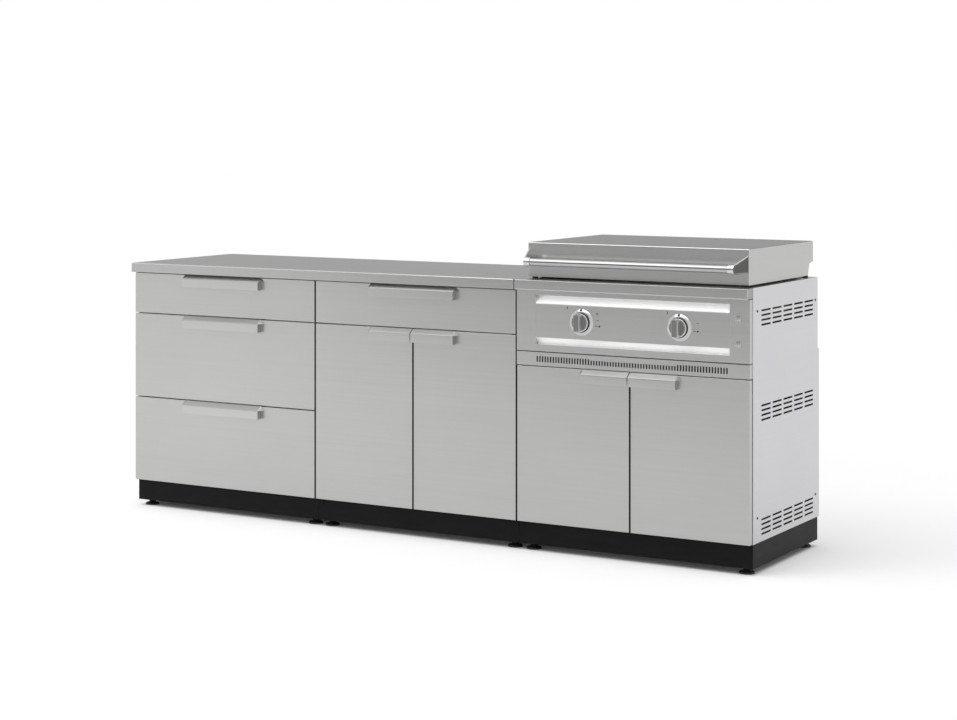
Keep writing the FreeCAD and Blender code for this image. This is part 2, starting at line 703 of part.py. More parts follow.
def save_drawers():
    outer_rails = []
    for name, (x0, low, high) in DRAWERS.items():
        z0, z1 = front_heights(low, high)
        floor = z0 + BOX_LIFT
        outer, middle, inner = slide_members(x0, floor + SLIDE_Z)
        outer_rails += outer
        middle_x = x0 + WIDTHS[x0] / 2
        save(name + "_front", front_pan(*front_ends(x0, WIDTHS[x0]), z0, z1))
        save(name + "_box", drawer_box(x0, floor, z1 - BOX_DROP) + inner)
        save(name + "_slide_middles", middle)
        save(name + "_pull", [pull(middle_x - PULL_W / 2, middle_x + PULL_W / 2, 1, 1, z1)])
    save("slide_outer_rails", outer_rails)


# Doors
DOORS = {
    "storage_left_door": (STORAGE_X, LINE_2, 0),
    "storage_right_door": (STORAGE_X, LINE_2, 1),
    "griddle_left_door": (GRIDDLE_X, DOOR_LINE, 0),
    "griddle_right_door": (GRIDDLE_X, DOOR_LINE, 1),
}


def door_place(x0, line, right):
    """A door's ends, bottom, top, and the x of its pivot pins."""
    middle = x0 + WIDTHS[x0] / 2
    outer = front_ends(x0, WIDTHS[x0])
    ends = (middle + REVEAL / 2, outer[1]) if right else (outer[0], middle - REVEAL / 2)
    pivot = ends[1] - PIVOT_X if right else ends[0] + PIVOT_X
    return ends, CARCASS_Z + FRONT_LIFT, line - REVEAL / 2, pivot


def pivot_block(edge, inward, z0, z1):
    """The block behind a door's corner that takes a pivot pin."""
    ends = sorted((edge + inward * SKIN, edge + inward * (SKIN + PIVOT_BLOCK[0])))
    return box(*ends, SKIN, SKIN + PIVOT_BLOCK[1], z0, z1)


def door_panel(x0, line, right):
    ends, z0, z1, pivot = door_place(x0, line, right)
    pan, liner = front_pan(*ends, z0, z1)
    edge, inward = (ends[1], -1) if right else (ends[0], 1)
    high = PIVOT_BLOCK[2]
    blocks = [
        pivot_block(edge, inward, z0 + SKIN, z0 + SKIN + high),
        pivot_block(edge, inward, z1 - SKIN - high, z1 - SKIN),
    ]
    reach = PIVOT_L + PIVOT_END_PLAY
    bores = [
        rod(PIVOT_R + PIVOT_PLAY, vec(pivot, PIVOT_Y, z0 - THROUGH), vec(pivot, PIVOT_Y, z0 + reach)),
        rod(PIVOT_R + PIVOT_PLAY, vec(pivot, PIVOT_Y, z1 - reach), vec(pivot, PIVOT_Y, z1 + THROUGH)),
    ]
    return [pan.cut(bores), liner] + [block.cut(bores) for block in blocks]


def door_pull(x0, line, right):
    ends, _, z1, _ = door_place(x0, line, right)
    middle = x0 + WIDTHS[x0] / 2
    if right:
        return pull(ends[0], middle + PULL_W / 2, 0, 1, z1)
    return pull(middle - PULL_W / 2, ends[1], 1, 0, z1)


def pivot_leaf(pivot, inward, plate_z, tab_z, pin_z):
    """A bent plate on the carcass front that carries one pivot pin."""
    ends = sorted((pivot - inward * LEAF_SPAN[0], pivot + inward * LEAF_SPAN[1]))
    plate = box(*ends, LEAF_FRONT, CARCASS_Y0, *plate_z)
    tab = box(*ends, CARCASS_Y0 - LEAF_T, CARCASS_Y0, *tab_z)
    pin = rod(PIVOT_R, vec(pivot, PIVOT_Y, pin_z[0]), vec(pivot, PIVOT_Y, pin_z[1]))
    return plate.fuse([tab, pin]).removeSplitter()


def pivot_leaves():
    leaves = []
    for x0, line, right in DOORS.values():
        _, z0, z1, pivot = door_place(x0, line, right)
        inward = -1 if right else 1
        low = (CARCASS_Z - LEAF_T, CARCASS_Z)
        high = (z1 + LEAF_AIR, z1 + LEAF_AIR + LEAF_T)
        low_tab = (CARCASS_Z - LEAF_TAB_LOW, CARCASS_Z)
        high_tab = (high[0], high[0] + LEAF_TAB_TOP)
        leaves.append(pivot_leaf(pivot, inward, low, low_tab, (low[0], z0 + PIVOT_L)))
        leaves.append(pivot_leaf(pivot, inward, high, high_tab, (z1 - PIVOT_L, high[1])))
    return leaves


# Griddle deck, firebox and plate
def opening(extra):
    """The deck opening's x and y limits, made smaller by extra on each side."""
    x0, x1 = GRIDDLE_X + DECK_OPENING_X + extra, ISLAND_X1 - DECK_OPENING_X - extra
    return x0, x1, DECK_OPENING_Y[0] + extra, DECK_OPENING_Y[1] - extra


def deck():
    """The griddle's top sheet, folded down at the front into a hollow trim."""
    w = DECK_SHEET
    z0, z1 = WORKTOP_Z0, WORKTOP_Z1
    top = box(GRIDDLE_X + SHEET, ISLAND_X1 - SHEET, CARCASS_Y0, CARCASS_Y1, z1 - w, z1)
    top = top.cut(box(*opening(0), z1 - 2 * w, z1 + w))
    a, b = GRIDDLE_X + DECK_SEAM, ISLAND_X1 - DECK_SEAM
    trim = box(a, b, -FRONT_OVERHANG, CARCASS_Y0, z0, z1)
    trim = trim.cut(box(a + w, b - w, w - FRONT_OVERHANG, CARCASS_Y0, z0 + w, z1 - w))
    return top.fuse(trim).removeSplitter()


def zone_x(zone):
    """The x of the left (-1) or right (1) knob, valve and burner."""
    return GRIDDLE_MID + zone * ZONE_X


def drain(radius, z0, z1):
    y = opening(PLATE_PLAY)[2] + TROUGH_W / 2
    return rod(radius, vec(GRIDDLE_X + DRAIN_X, y, z0), vec(GRIDDLE_X + DRAIN_X, y, z1))


def firebox():
    """A tub hung in the deck's opening by its flange, two bars for the plate and the tray's rails."""
    x0, x1, y0, y1 = opening(FIREBOX_PLAY)
    w = FIREBOX_SHEET
    rim = WORKTOP_Z1 + w
    tub = box(x0, x1, y0, y1, FIREBOX_Z, rim)
    f = FIREBOX_FLANGE
    tub = tub.fuse(box(x0 - f, x1 + f, y0 - f, y1 + f, WORKTOP_Z1, rim))
    inside = (x0 + w, x1 - w, y0 + w, y1 - w)
    tub = tub.cut(box(*inside, FIREBOX_Z + w, rim + THROUGH))
    wall = (vec(0, y0 - THROUGH, BURNER_AXIS_Z), vec(0, y0 + w + THROUGH, BURNER_AXIS_Z))
    mouths = [rod(BURNER_R + MOUTH_PLAY, *wall).translated(vec(zone_x(s), 0, 0)) for s in (-1, 1)]
    spout_hole = drain(DRAIN_R + DRAIN_WALL + DRAIN_PLAY, FIREBOX_Z - THROUGH, FIREBOX_Z + w + THROUGH)
    tub = tub.cut(mouths + [spout_hole])
    under = COOK_Z - PLATE_T
    front, back = y0 + BAR_INSET[0], y1 - BAR_INSET[1] - BAR_W
    bars = [box(inside[0], inside[1], y, y + BAR_W, under - BAR_H, under) for y in (front, back)]
    return [tub] + bars + tray_rails()


def griddle_plate():
    """The cooking plate, the splash walls and grease trough welded around it, and a drain spout."""
    x0, x1, y0, y1 = opening(PLATE_PLAY)
    w = PLATE_WALL
    a, b = x0 + w, x1 - w
    y_step = y0 + TROUGH_W
    under, top = COOK_Z - PLATE_T, COOK_Z + SPLASH_H
    trough = COOK_Z - TROUGH_DEPTH
    side = box(x0, a, y_step, y1, under, top).fuse(box(x0, a, y0, y_step, trough - w, top))
    spout = drain(DRAIN_R + DRAIN_WALL, FIREBOX_Z - DRAIN_END, trough - w)
    bore = drain(DRAIN_R, FIREBOX_Z - DRAIN_END - THROUGH, trough + THROUGH)
    return both_sides(side.removeSplitter(), GRIDDLE_MID) + [
        box(a, b, y_step, y1 - w, under, COOK_Z),
        box(a, b, y1 - w, y1, under, top),
        box(a, b, y0, y_step, trough - w, trough).cut(bore),
        box(a, b, y0, y0 + w, trough, COOK_Z + TROUGH_LIP),
        box(a, b, y_step - w, y_step, trough, COOK_Z),
        spout.cut(bore),
    ]


def grease_tray():
    """A flanged tray under the spout."""
    wide, deep, high = TRAY_SIZE
    w = TRAY_SHEET
    x = GRIDDLE_X + DRAIN_X
    y0 = opening(FIREBOX_PLAY)[2]
    rim = FIREBOX_Z - TRAY_DROP
    a, b = x - wide / 2, x + wide / 2
    tray = box(a, b, y0, y0 + deep, rim - high, rim)
    tray = tray.fuse(box(a - TRAY_FLANGE, b + TRAY_FLANGE, y0, y0 + deep, rim - w, rim))
    return tray.cut(box(a + w, b - w, y0 + w, y0 + deep - w, rim - high + w, rim)).removeSplitter()


def tray_rails():
    """Angles under the firebox floor; the tray slides back along them and lifts out."""
    wide, deep, _ = TRAY_SIZE
    w = TRAY_SHEET
    x = GRIDDLE_X + DRAIN_X
    b = x + wide / 2
    y0 = opening(FIREBOX_PLAY)[2]
    y1 = y0 + deep + TRAY_TRAVEL
    rim = FIREBOX_Z - TRAY_DROP
    edge = b + TRAY_FLANGE + TRAY_SIDE_PLAY
    rail = box(edge, edge + w, y0, y1, rim - 2 * w, FIREBOX_Z)
    rail = rail.fuse(box(b + TRAY_SIDE_PLAY, edge + w, y0, y1, rim - 2 * w, rim - w))
    return both_sides(rail.removeSplitter(), x)


# Burners and gas line
def burner(zone):
    """An H burner: two long legs, a cross tube and an inlet, on four feet."""
    x, z = zone_x(zone), BURNER_AXIS_Z
    legs = (x - BURNER_HALF, x + BURNER_HALF)
    cross_y = (BURNER_Y[0] + BURNER_Y[1]) / 2

    def tubes(less):
        r = BURNER_R - less
        y0, y1 = BURNER_Y[0] + less, BURNER_Y[1] - less
        runs = [rod(r, vec(leg, y0, z), vec(leg, y1, z)) for leg in legs]
        mouth = rod(r, vec(x, FIREBOX_Y[0] - BURNER_MOUTH_OUT - less, z), vec(x, cross_y, z))
        cross_ends = [vec(leg, cross_y, z) for leg in legs]
        return runs[0].fuse([runs[1], mouth, rod(BURNER_CROSS_R - less, *cross_ends)])

    half = BURNER_FOOT / 2
    feet = [
        box(leg - half, leg + half, y - half, y + half, FIREBOX_Z + FIREBOX_SHEET, z - BURNER_R + BURNER_WALL)
        for leg in legs
        for y in (BURNER_Y[0] + BURNER_FOOT_INSET, BURNER_Y[1] - BURNER_FOOT_INSET)
    ]
    first = (BURNER_Y[0] + BURNER_Y[1] - (PORT_COUNT - 1) * PORT_PITCH - PORT_W) / 2
    port_y = [first + i * PORT_PITCH for i in range(PORT_COUNT)]
    reach = (z + BURNER_R - PORT_DEPTH, z + BURNER_R + THROUGH)
    ports = [box(leg - half, leg + half, y, y + PORT_W, *reach) for leg in legs for y in port_y]
    return tubes(0).fuse(feet).cut(tubes(BURNER_WALL)).cut(ports)


def inlet_start():
    """Where the pipe ends behind the back sheet and its inlet begins."""
    return vec(ISLAND_X1 - MANIFOLD_INSET[1], CARCASS_Y1 + SHEET + INLET_AIR, MANIFOLD_Z)


def manifold_pipe():
    """A pipe across the valves that turns back, passes under the firebox and out of the back."""
    end = inlet_start()
    turn = vec(end.x, MANIFOLD_Y, MANIFOLD_Z)
    start = vec(GRIDDLE_X + MANIFOLD_INSET[0], MANIFOLD_Y, MANIFOLD_Z)
    inlet = rod(INLET_R, end, end + vec(0, INLET_L, 0))
    return rod(MANIFOLD_R, start, turn).fuse(
        [Part.makeSphere(MANIFOLD_R, turn), rod(MANIFOLD_R, turn, end), inlet]
    )


def manifold():
    """The gas pipe, its inlet end and the two plates that hang it from the firebox."""
    y1 = opening(FIREBOX_PLAY)[2]
    hole = rod(MANIFOLD_R, vec(GRIDDLE_X, MANIFOLD_Y, MANIFOLD_Z), vec(ISLAND_X1, MANIFOLD_Y, MANIFOLD_Z))
    x = GRIDDLE_X + MANIFOLD_BRACKET_X
    y0, z0 = MANIFOLD_Y - MANIFOLD_R, MANIFOLD_Z - MANIFOLD_R
    plate = box(x, x + MANIFOLD_BRACKET_T, y0, y1, z0, FIREBOX_Z + MANIFOLD_BRACKET_LAP)
    return [manifold_pipe()] + both_sides(plate.cut(hole), GRIDDLE_MID)


def valve(zone):
    """A gas valve seated on the pipe, with its orifice pointing into the burner's mouth."""
    x, half = zone_x(zone), VALVE_W / 2
    body = box(x - half, x + half, *VALVE_Y, MANIFOLD_Z, PANEL_Z + VALVE_TOP)
    pipe = rod(MANIFOLD_R, vec(x - VALVE_W, MANIFOLD_Y, MANIFOLD_Z), vec(x + VALVE_W, MANIFOLD_Y, MANIFOLD_Z))
    deep = VALVE_Y[0] + STEM_IN_VALVE + STEM_TRAVEL + STEM_END_PLAY
    bore = rod(STEM_R + STEM_PLAY, vec(x, VALVE_Y[0], PANEL_Z), vec(x, deep, PANEL_Z))
    spud = rod(ORIFICE_R, vec(x, VALVE_Y[1], BURNER_AXIS_Z), vec(x, VALVE_Y[1] + ORIFICE_L, BURNER_AXIS_Z))
    return body.fuse(spud).cut([pipe, bore])


# Control panel and vent strip
def groove_outline(z_edge, z_far):
    """Section of a groove that slopes back from the panel's face at z_edge to a step at z_far."""
    return [(0, z_edge), (0, z_far), (GROOVE_D, z_far)]


def groove_backing(z_edge, z_far):
    """The groove's section with the panel's sheet behind it."""
    w = PANEL_SHEET
    away = 1 if z_far > z_edge else -1
    slant = w * math.hypot(GROOVE_D, z_far - z_edge) / GROOVE_D
    deep = GROOVE_D + w
    step = z_far + away * w
    back = z_far - away * (slant - w * abs(z_far - z_edge) / GROOVE_D)
    return [(0, z_edge - away * slant), (0, step), (deep, step), (deep, back)]


def grooves(outline, spare):
    x0, x1 = GRIDDLE_X + GROOVE_INSET[0] - spare, ISLAND_X1 - GROOVE_INSET[1] + spare
    return [profile_x(outline(*ramp), x0, x1) for ramp in zip(PLATEAU_Z, GROOVE_STEPS_Z)]


def button_places():
    return [(ISLAND_X1 - BUTTON_X, PANEL_Z + side * BUTTON_Z) for side in (1, -1)]


def control_panel():
    """The knob panel: a folded pan with a raised centre between two sloping grooves."""
    w = PANEL_SHEET
    x0, x1 = GRIDDLE_X + PANEL_MARGIN, ISLAND_X1 - PANEL_MARGIN
    z0, z1 = PANEL_ENDS_Z
    pan = box(x0, x1, 0, CARCASS_Y0, z0, z1)
    hollow = box(x0 + w, x1 - w, w, CARCASS_Y0, z0 + w, z1 - w).cut(grooves(groove_backing, w))
    pan = pan.cut(hollow).cut(grooves(groove_outline, 0))
    y0, y1 = -THROUGH, w + THROUGH
    stems = [rod(STEM_HOLE_R, vec(zone_x(s), y0, PANEL_Z), vec(zone_x(s), y1, PANEL_Z)) for s in (-1, 1)]
    wide = BUTTON_W + 2 * BUTTON_PLAY
    holes = [rounded_bar_y(x, z, wide, BUTTON_CORNER, y0, y1) for x, z in button_places()]
    return pan.cut(stems + holes)


def vent_strip():
    w = PANEL_SHEET
    x0, x1 = GRIDDLE_X + PANEL_MARGIN, ISLAND_X1 - PANEL_MARGIN
    z0 = DOOR_LINE + REVEAL / 2
    z1 = STRIP_LINE
    strip = box(x0, x1, 0, CARCASS_Y0, z0, z1)
    strip = strip.cut(box(x0 + w, x1 - w, w, CARCASS_Y0, z0 + w, z1 - w))
    strip = strip.cut(box(x0 + w, x1 - w, CARCASS_Y0 - 2 * LEAF_T, CARCASS_Y0, z0, z0 + w))
    tall_left, short, tall_right = STRIP_SLOTS
    count = tall_left + short + tall_right
    first = GRIDDLE_MID - (count - 1) / 2 * STRIP_SLOT_PITCH - STRIP_SLOT_W / 2
    slots = []
    for i in range(count):
        high = STRIP_SLOT_H[1] if tall_left <= i < tall_left + short else STRIP_SLOT_H[0]
        x = first + i * STRIP_SLOT_PITCH
        low = z0 + STRIP_SLOT_Z
        slots.append(box(x, x + STRIP_SLOT_W, -THROUGH, w + THROUGH, low, low + high))
    return strip.cut(slots)


# Knobs and buttons
def bezel(zone):
    x = zone_x(zone)
    ring = rod(BEZEL_R[1], vec(x, 0, PANEL_Z), vec(x, -BEZEL_T, PANEL_Z))
    ring = ring.makeChamfer(BEZEL_CHAMFER, edges_at_y(ring, -BEZEL_T))
    return ring.cut(rod(BEZEL_R[0], vec(x, THROUGH, PANEL_Z), vec(x, -BEZEL_T - THROUGH, PANEL_Z)))


def knob(zone):
    """A round knob with a straight grip, pressed on its valve stem."""
    x = zone_x(zone)
    back = -KNOB_BACK
    front = back - KNOB_T
    disc = rod(KNOB_R, vec(x, back, PANEL_Z), vec(x, front, PANEL_Z))
    disc = disc.makeFillet(KNOB_EDGE, edges_at_y(disc, front))
    tip = front - GRIP_T
    grip = rod(GRIP_L / 2, vec(x, front + THROUGH, PANEL_Z), vec(x, tip, PANEL_Z))
    grip = grip.common(box(x - GRIP_W / 2, x + GRIP_W / 2, tip, back, PANEL_Z - GRIP_L, PANEL_Z + GRIP_L))
    grip = grip.makeFillet(GRIP_EDGE, edges_at_y(grip, tip))
    bore = rod(STEM_R, vec(x, back, PANEL_Z), vec(x, back - STEM_IN_KNOB, PANEL_Z))
    return disc.fuse(grip).cut(bore)


def valve_stem(zone):
    x = zone_x(zone)
    front, back = -KNOB_BACK - STEM_IN_KNOB, VALVE_Y[0] + STEM_IN_VALVE
    stem = rod(STEM_R, vec(x, front, PANEL_Z), vec(x, back, PANEL_Z))
    return stem.fuse(rod(CLIP_R, vec(x, CLIP_Y, PANEL_Z), vec(x, CLIP_Y + CLIP_T, PANEL_Z)))


def thrust_washer(zone):
    x, y = zone_x(zone), CLIP_Y + CLIP_T
    return tube(WASHER_R, WASHER_R - STEM_R - STEM_PLAY, vec(x, y, PANEL_Z), vec(x, y + WASHER_T, PANEL_Z))


def button(x, z):
    cap = rounded_bar_y(x, z, BUTTON_W, BUTTON_CORNER, -BUTTON_OUT, BUTTON_DEPTH)
    return cap.fuse(rod(BUTTON_STEM_R, vec(x, BUTTON_DEPTH, z), vec(x, BUTTON_DEPTH + BUTTON_STEM_L, z)))


def igniter_housing(x, z):
    """The switch box behind a button, with a pocket for its cap and a bore for its stem."""
    half = HOUSING_W / 2
    y0 = PANEL_SHEET
    body = box(x - half, x + half, y0, y0 + HOUSING_D, z - half, z + half)
    pocket = rounded_bar_y(x, z, BUTTON_W + 2 * BUTTON_PLAY, BUTTON_CORNER, y0, y0 + HOUSING_POCKET)
    bore_end = BUTTON_DEPTH + BUTTON_STEM_L + BUTTON_TRAVEL + STEM_END_PLAY
    bore = rod(BUTTON_STEM_R + STEM_PLAY, vec(x, y0, z), vec(x, bore_end, z))
    return body.cut([pocket, bore])


# Lid
def lid_side_outline():
    notch = [(LID_REAR_Y - inset, LID_Z0 + up) for inset, up in LID_NOTCH]
    front = [(LID_FRONT_Y, LID_Z0), (LID_FRONT_Y, LID_Z1)]
    return front + [(LID_REAR_Y, LID_Z1), *notch, (notch[-1][0], LID_Z0)]


def bent_edges(shape, y, z):
    """The long edge at y and z and the bends at the two ends of the top and front."""
    def on(edge, **places):
        b = edge.BoundBox
        ranges = {"x": (b.XMin, b.XMax), "y": (b.YMin, b.YMax), "z": (b.ZMin, b.ZMax)}
        return all(abs(v - place) < TINY for axis, place in places.items() for v in ranges[axis])

    x0, x1 = shape.BoundBox.XMin, shape.BoundBox.XMax
    sides = [e for e in shape.Edges if any(on(e, x=x, z=z) or on(e, x=x, y=y) for x in (x0, x1))]
    return sides + [e for e in shape.Edges if on(e, y=y, z=z)]


def lid_shell():
    """The lid: one folded sheet, open below and notched at the back for its swing."""
    w = LID_SHEET
    outer = profile_x(lid_side_outline(), *LID_X)
    outer = outer.makeFillet(LID_BEND, bent_edges(outer, LID_FRONT_Y, LID_Z1))
    inner = box(LID_X[0] + w, LID_X[1] - w, LID_FRONT_Y + w, LID_REAR_Y - w, LID_Z0 - LID_BEND, LID_Z1 - w)
    inner = inner.makeFillet(LID_BEND - w, bent_edges(inner, LID_FRONT_Y + w, LID_Z1 - w))
    return outer.cut(inner)


def hinge_axis():
    return LID_REAR_Y - HINGE_INSET, WORKTOP_Z1 + HINGE_Z


def lid_ear():
    """A plate welded inside the lid's back that turns on the hinge pin."""
    y, z = hinge_axis()
    r = EAR_R
    wall = LID_REAR_Y - LID_SHEET
    low = LID_Z0 + LID_NOTCH[0][1]
    high = low + EAR_WELD
    under = z - EAR_DROP
    outline = [(y - r, under), (y + r, under), (wall, low), (wall, high), (y, high), (y - r, z + r)]
    x = GRIDDLE_X + HINGE_X
    hole = rod(HINGE_PIN_R + HINGE_PLAY, vec(x - THROUGH, y, z), vec(x + HINGE_T + THROUGH, y, z))
    return profile_x(outline, x, x + HINGE_T).cut(hole)


def hinge_bracket():
    """A foot on the deck with an upright and the hinge pin."""
    y, z = hinge_axis()
    x1 = GRIDDLE_X + HINGE_X - HINGE_AIR
    x0 = x1 - HINGE_T
    half = HINGE_FOOT / 2
    upright = box(x0, x1, y - half, y + half, WORKTOP_Z1, z + EAR_DROP)
    foot = box(x1 - HINGE_FOOT, x1, y - half, y + half, WORKTOP_Z1, WORKTOP_Z1 + HINGE_T)
    pin = rod(HINGE_PIN_R, vec(x0, y, z), vec(x0 + HINGE_PIN_L, y, z))
    return upright.fuse([foot, pin]).removeSplitter()


def rest_pads():
    """Rubber pads on the deck under the lid's front and sides."""
    pads = []
    side_y = LID_REAR_Y - LID_NOTCH[-1][0] - REST_PAD
    places = ((LID_X[0] + REST_PAD_INSET, LID_FRONT_Y), (LID_X[0], side_y))
    for x, y in places:
        pads += both_sides(box(x, x + REST_PAD, y, y + REST_PAD, WORKTOP_Z1, LID_Z0), GRIDDLE_MID)
    return pads


def handle_ends():
    return GRIDDLE_X + HANDLE_END, ISLAND_X1 - HANDLE_END


def handle_rod(radius, x0, x1):
    return rod(radius, vec(x0, HANDLE_Y, HANDLE_AXIS_Z), vec(x1, HANDLE_Y, HANDLE_AXIS_Z))


def handle_tube():
    x0, x1 = handle_ends()
    a, b = x0 + BRACKET_NOSE_L, x1 - BRACKET_NOSE_L
    return handle_rod(HANDLE_R, a, b).cut(handle_rod(HANDLE_R - HANDLE_WALL, a, b))


def bracket_outline(less):
    """Side view of a handle bracket: tall on the lid, round at the handle."""
    r = BRACKET_NOSE_R - less
    back = LID_FRONT_Y + BRACKET_T - less
    feet = (LID_Z0 + BRACKET_FOOT[0] + less, LID_Z0 + BRACKET_FOOT[1] - less)

    def tangent_point(foot_z, side):
        across, up = back - HANDLE_Y, foot_z - HANDLE_AXIS_Z
        angle = math.atan2(up, across) + side * math.acos(r / math.hypot(across, up))
        return vec(0, HANDLE_Y + r * math.cos(angle), HANDLE_AXIS_Z + r * math.sin(angle))

    low, top = tangent_point(feet[0], -1), tangent_point(feet[1], 1)
    corners = [low, vec(0, back, feet[0]), vec(0, back, feet[1]), top]
    lines = [Part.LineSegment(a, b).toShape() for a, b in zip(corners, corners[1:])]
    nose = vec(0, HANDLE_Y - r, HANDLE_AXIS_Z)
    return Part.Face(Part.Wire(lines + [Part.Arc(top, nose, low).toShape()]))


def leaned(shape):
    """Moves a right-hand bracket's shape from x = 0 to its foot and leans it towards the handle."""
    end = handle_ends()[1]
    foot = LID_X[1] - BRACKET_INSET
    lean = math.degrees(math.atan2(foot - end, HANDLE_OUT))
    placed = shape.translated(vec(foot - BRACKET_T, 0, 0))
    return placed.rotated(vec(foot, LID_FRONT_Y, 0), vec(0, 0, 1), -lean)


def handle_bracket():
    """Right-hand bracket: a dished plate from the lid's side to a nose and collar on the tube."""
    end = handle_ends()[1]
    nose = end - BRACKET_NOSE_L
    plate = leaned(bracket_outline(0).extrude(vec(BRACKET_T, 0, 0)))
    dish = bracket_outline(BRACKET_RIM).extrude(vec(COLLAR_L, 0, 0))
    dish = leaned(dish.translated(vec(BRACKET_T - BRACKET_DISH, 0, 0)))
    reach = HANDLE_OUT + COLLAR_R
    outside = leaned(box(BRACKET_T, BRACKET_T + reach, LID_FRONT_Y - 2 * reach, LID_REAR_Y, LID_Z0, LID_Z1))
    lid_space = box(*LID_X, LID_FRONT_Y, LID_REAR_Y, LID_Z0, LID_Z1)
    hub = handle_rod(BRACKET_NOSE_R, nose - THROUGH, end + COLLAR_L)
    collar = handle_rod(COLLAR_R, nose - COLLAR_L, nose)
    socket = handle_rod(HANDLE_R, nose - COLLAR_L, nose)
    return plate.fuse([hub, collar]).cut([dish, outside, lid_space, socket]).removeSplitter()


# Export
save("side_panels", plain_sides())
save("vented_side_panels", vented_sides())
save("joining_bolts", joining_bolts())
save("frame_members", frame_members())
save("floor_panels", floor_panels())
save("back_panels", back_panels())
save("storage_shelf", shelf())
save("plinths", plinths())
save("foot_pads", [foot_pad(x, y) for x, y in foot_places()])
save("foot_stems", [foot_stem(x, y) for x, y in foot_places()])
save("countertop", [worktop_sheet()])
save("countertop_core", [worktop_core()])
save_drawers()
for door_name, door in DOORS.items():
    save(door_name, door_panel(*door))
    save(door_name + "_pull", [door_pull(*door)])
save("door_pivot_leaves", pivot_leaves())
save("griddle_deck", [deck()])
save("firebox", firebox())
save("griddle_plate", griddle_plate())
save("grease_tray", [grease_tray()])
save("griddle_burners", [burner(-1), burner(1)])
save("gas_manifold", manifold())
save("gas_valves", [valve(-1), valve(1)])
save("control_panel", [control_panel()])
save("vent_strip", [vent_strip()])
save("knob_bezels", [bezel(-1), bezel(1)])
for side_name, side in (("left", -1), ("right", 1)):
    save(side_name + "_knob", [knob(side), valve_stem(side)])
    save(side_name + "_knob_washer", [thrust_washer(side)])
for button_name, place in zip(("upper", "lower"), button_places()):
    save(button_name + "_igniter_button", [button(*place)])
save("igniter_housings", [igniter_housing(x, z) for x, z in button_places()])
save("lid_shell", [lid_shell()] + both_sides(lid_ear(), GRIDDLE_MID))
save("lid_handle_tube", [handle_tube()])
save("lid_handle_brackets", both_sides(handle_bracket(), GRIDDLE_MID))
save("lid_hinge_brackets", both_sides(hinge_bracket(), GRIDDLE_MID))
save("lid_rest_pads", rest_pads())
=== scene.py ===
# %% Load the frame
import json
import math

import bmesh
import bpy
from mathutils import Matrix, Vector


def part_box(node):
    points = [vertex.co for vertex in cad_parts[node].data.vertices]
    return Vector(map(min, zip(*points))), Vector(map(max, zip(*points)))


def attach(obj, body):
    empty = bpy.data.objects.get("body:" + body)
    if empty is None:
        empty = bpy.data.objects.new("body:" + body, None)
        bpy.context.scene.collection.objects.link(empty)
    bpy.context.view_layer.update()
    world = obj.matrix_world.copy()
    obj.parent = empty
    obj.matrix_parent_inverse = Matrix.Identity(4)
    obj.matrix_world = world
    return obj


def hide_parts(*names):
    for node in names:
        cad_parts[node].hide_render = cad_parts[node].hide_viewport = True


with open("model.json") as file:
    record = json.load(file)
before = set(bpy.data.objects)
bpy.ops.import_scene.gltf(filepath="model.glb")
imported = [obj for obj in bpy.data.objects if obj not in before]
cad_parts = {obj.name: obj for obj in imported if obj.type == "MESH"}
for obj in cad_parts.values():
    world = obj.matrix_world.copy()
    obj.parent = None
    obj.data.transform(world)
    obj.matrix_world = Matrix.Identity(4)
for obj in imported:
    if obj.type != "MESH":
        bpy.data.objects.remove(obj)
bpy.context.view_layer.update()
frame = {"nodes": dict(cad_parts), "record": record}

nodes = frame["nodes"]
scene = bpy.context.scene
MM = 0.001

# %% [markdown]
# The lesson dresses an outdoor kitchen island: a drawer cabinet, a storage cabinet and a gas griddle
# cabinet in stainless sheet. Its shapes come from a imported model, which was just loaded and stays
# where it is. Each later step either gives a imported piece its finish, or makes a finer copy of it
# with rounded folds, or adds small parts that are too fine for the model, such as screws.

# %% [markdown]
# The camera stands where the photographer stood. Its place and lens were worked out from thirty-five
# corners of the object whose true places are known. A level camera with a shifted lens keeps upright
# edges parallel, as a studio photographer does, so the camera isn't tilted here.

# %% Camera
PHOTO_W, PHOTO_H = 957, 720
FOCAL_PIXELS = 2098.58
SENSOR_MM = 36.0
HORIZON_V = 122.19       # the picture's row that is level with the lens
CAMERA_AT = (3.8072, -6.3783, 1.4253)
CAMERA_TURN = 30.26      # degrees to the left of straight back

lens = bpy.data.cameras.new("camera")
camera = bpy.data.objects.new("camera", lens)
scene.collection.objects.link(camera)
camera.location = CAMERA_AT
camera.rotation_euler = (math.radians(90), 0, math.radians(CAMERA_TURN))
lens.sensor_width = SENSOR_MM
lens.lens = FOCAL_PIXELS / PHOTO_W * SENSOR_MM
lens.shift_y = (HORIZON_V - PHOTO_H / 2) / PHOTO_W
lens.clip_end = 100
scene.camera = camera
scene.view_settings.view_transform = "Standard"
print("camera", round(lens.lens, 1), "mm, shift", round(lens.shift_y, 4))

# %% [markdown]
# Every finish and every pattern below is a tree of nodes. Wiring such a tree by hand takes many
# lines, so one small class wraps an output socket and turns plain sums, such as mask * 0.5, into Math
# nodes. A second class adds any other node in one call: its type, its settings, then the values or
# links of its sockets. Materials and Geometry Nodes use the same class.

# %% Sums on sockets, and one way to add a node
class Value:
    """An output socket that can stand in a sum."""

    def __init__(self, graph, socket):
        self.graph, self.socket = graph, socket

    def _sum(self, operation, *terms):
        return self.graph.add("ShaderNodeMath", {"operation": operation}, dict(enumerate(terms)))

    def __add__(self, other):
        return self._sum("ADD", self, other)

    def __sub__(self, other):
        return self._sum("SUBTRACT", self, other)

    def __mul__(self, other):
        return self._sum("MULTIPLY", self, other)

    def __truediv__(self, other):
        return self._sum("DIVIDE", self, other)

    def __abs__(self):
        return self._sum("ABSOLUTE", self)


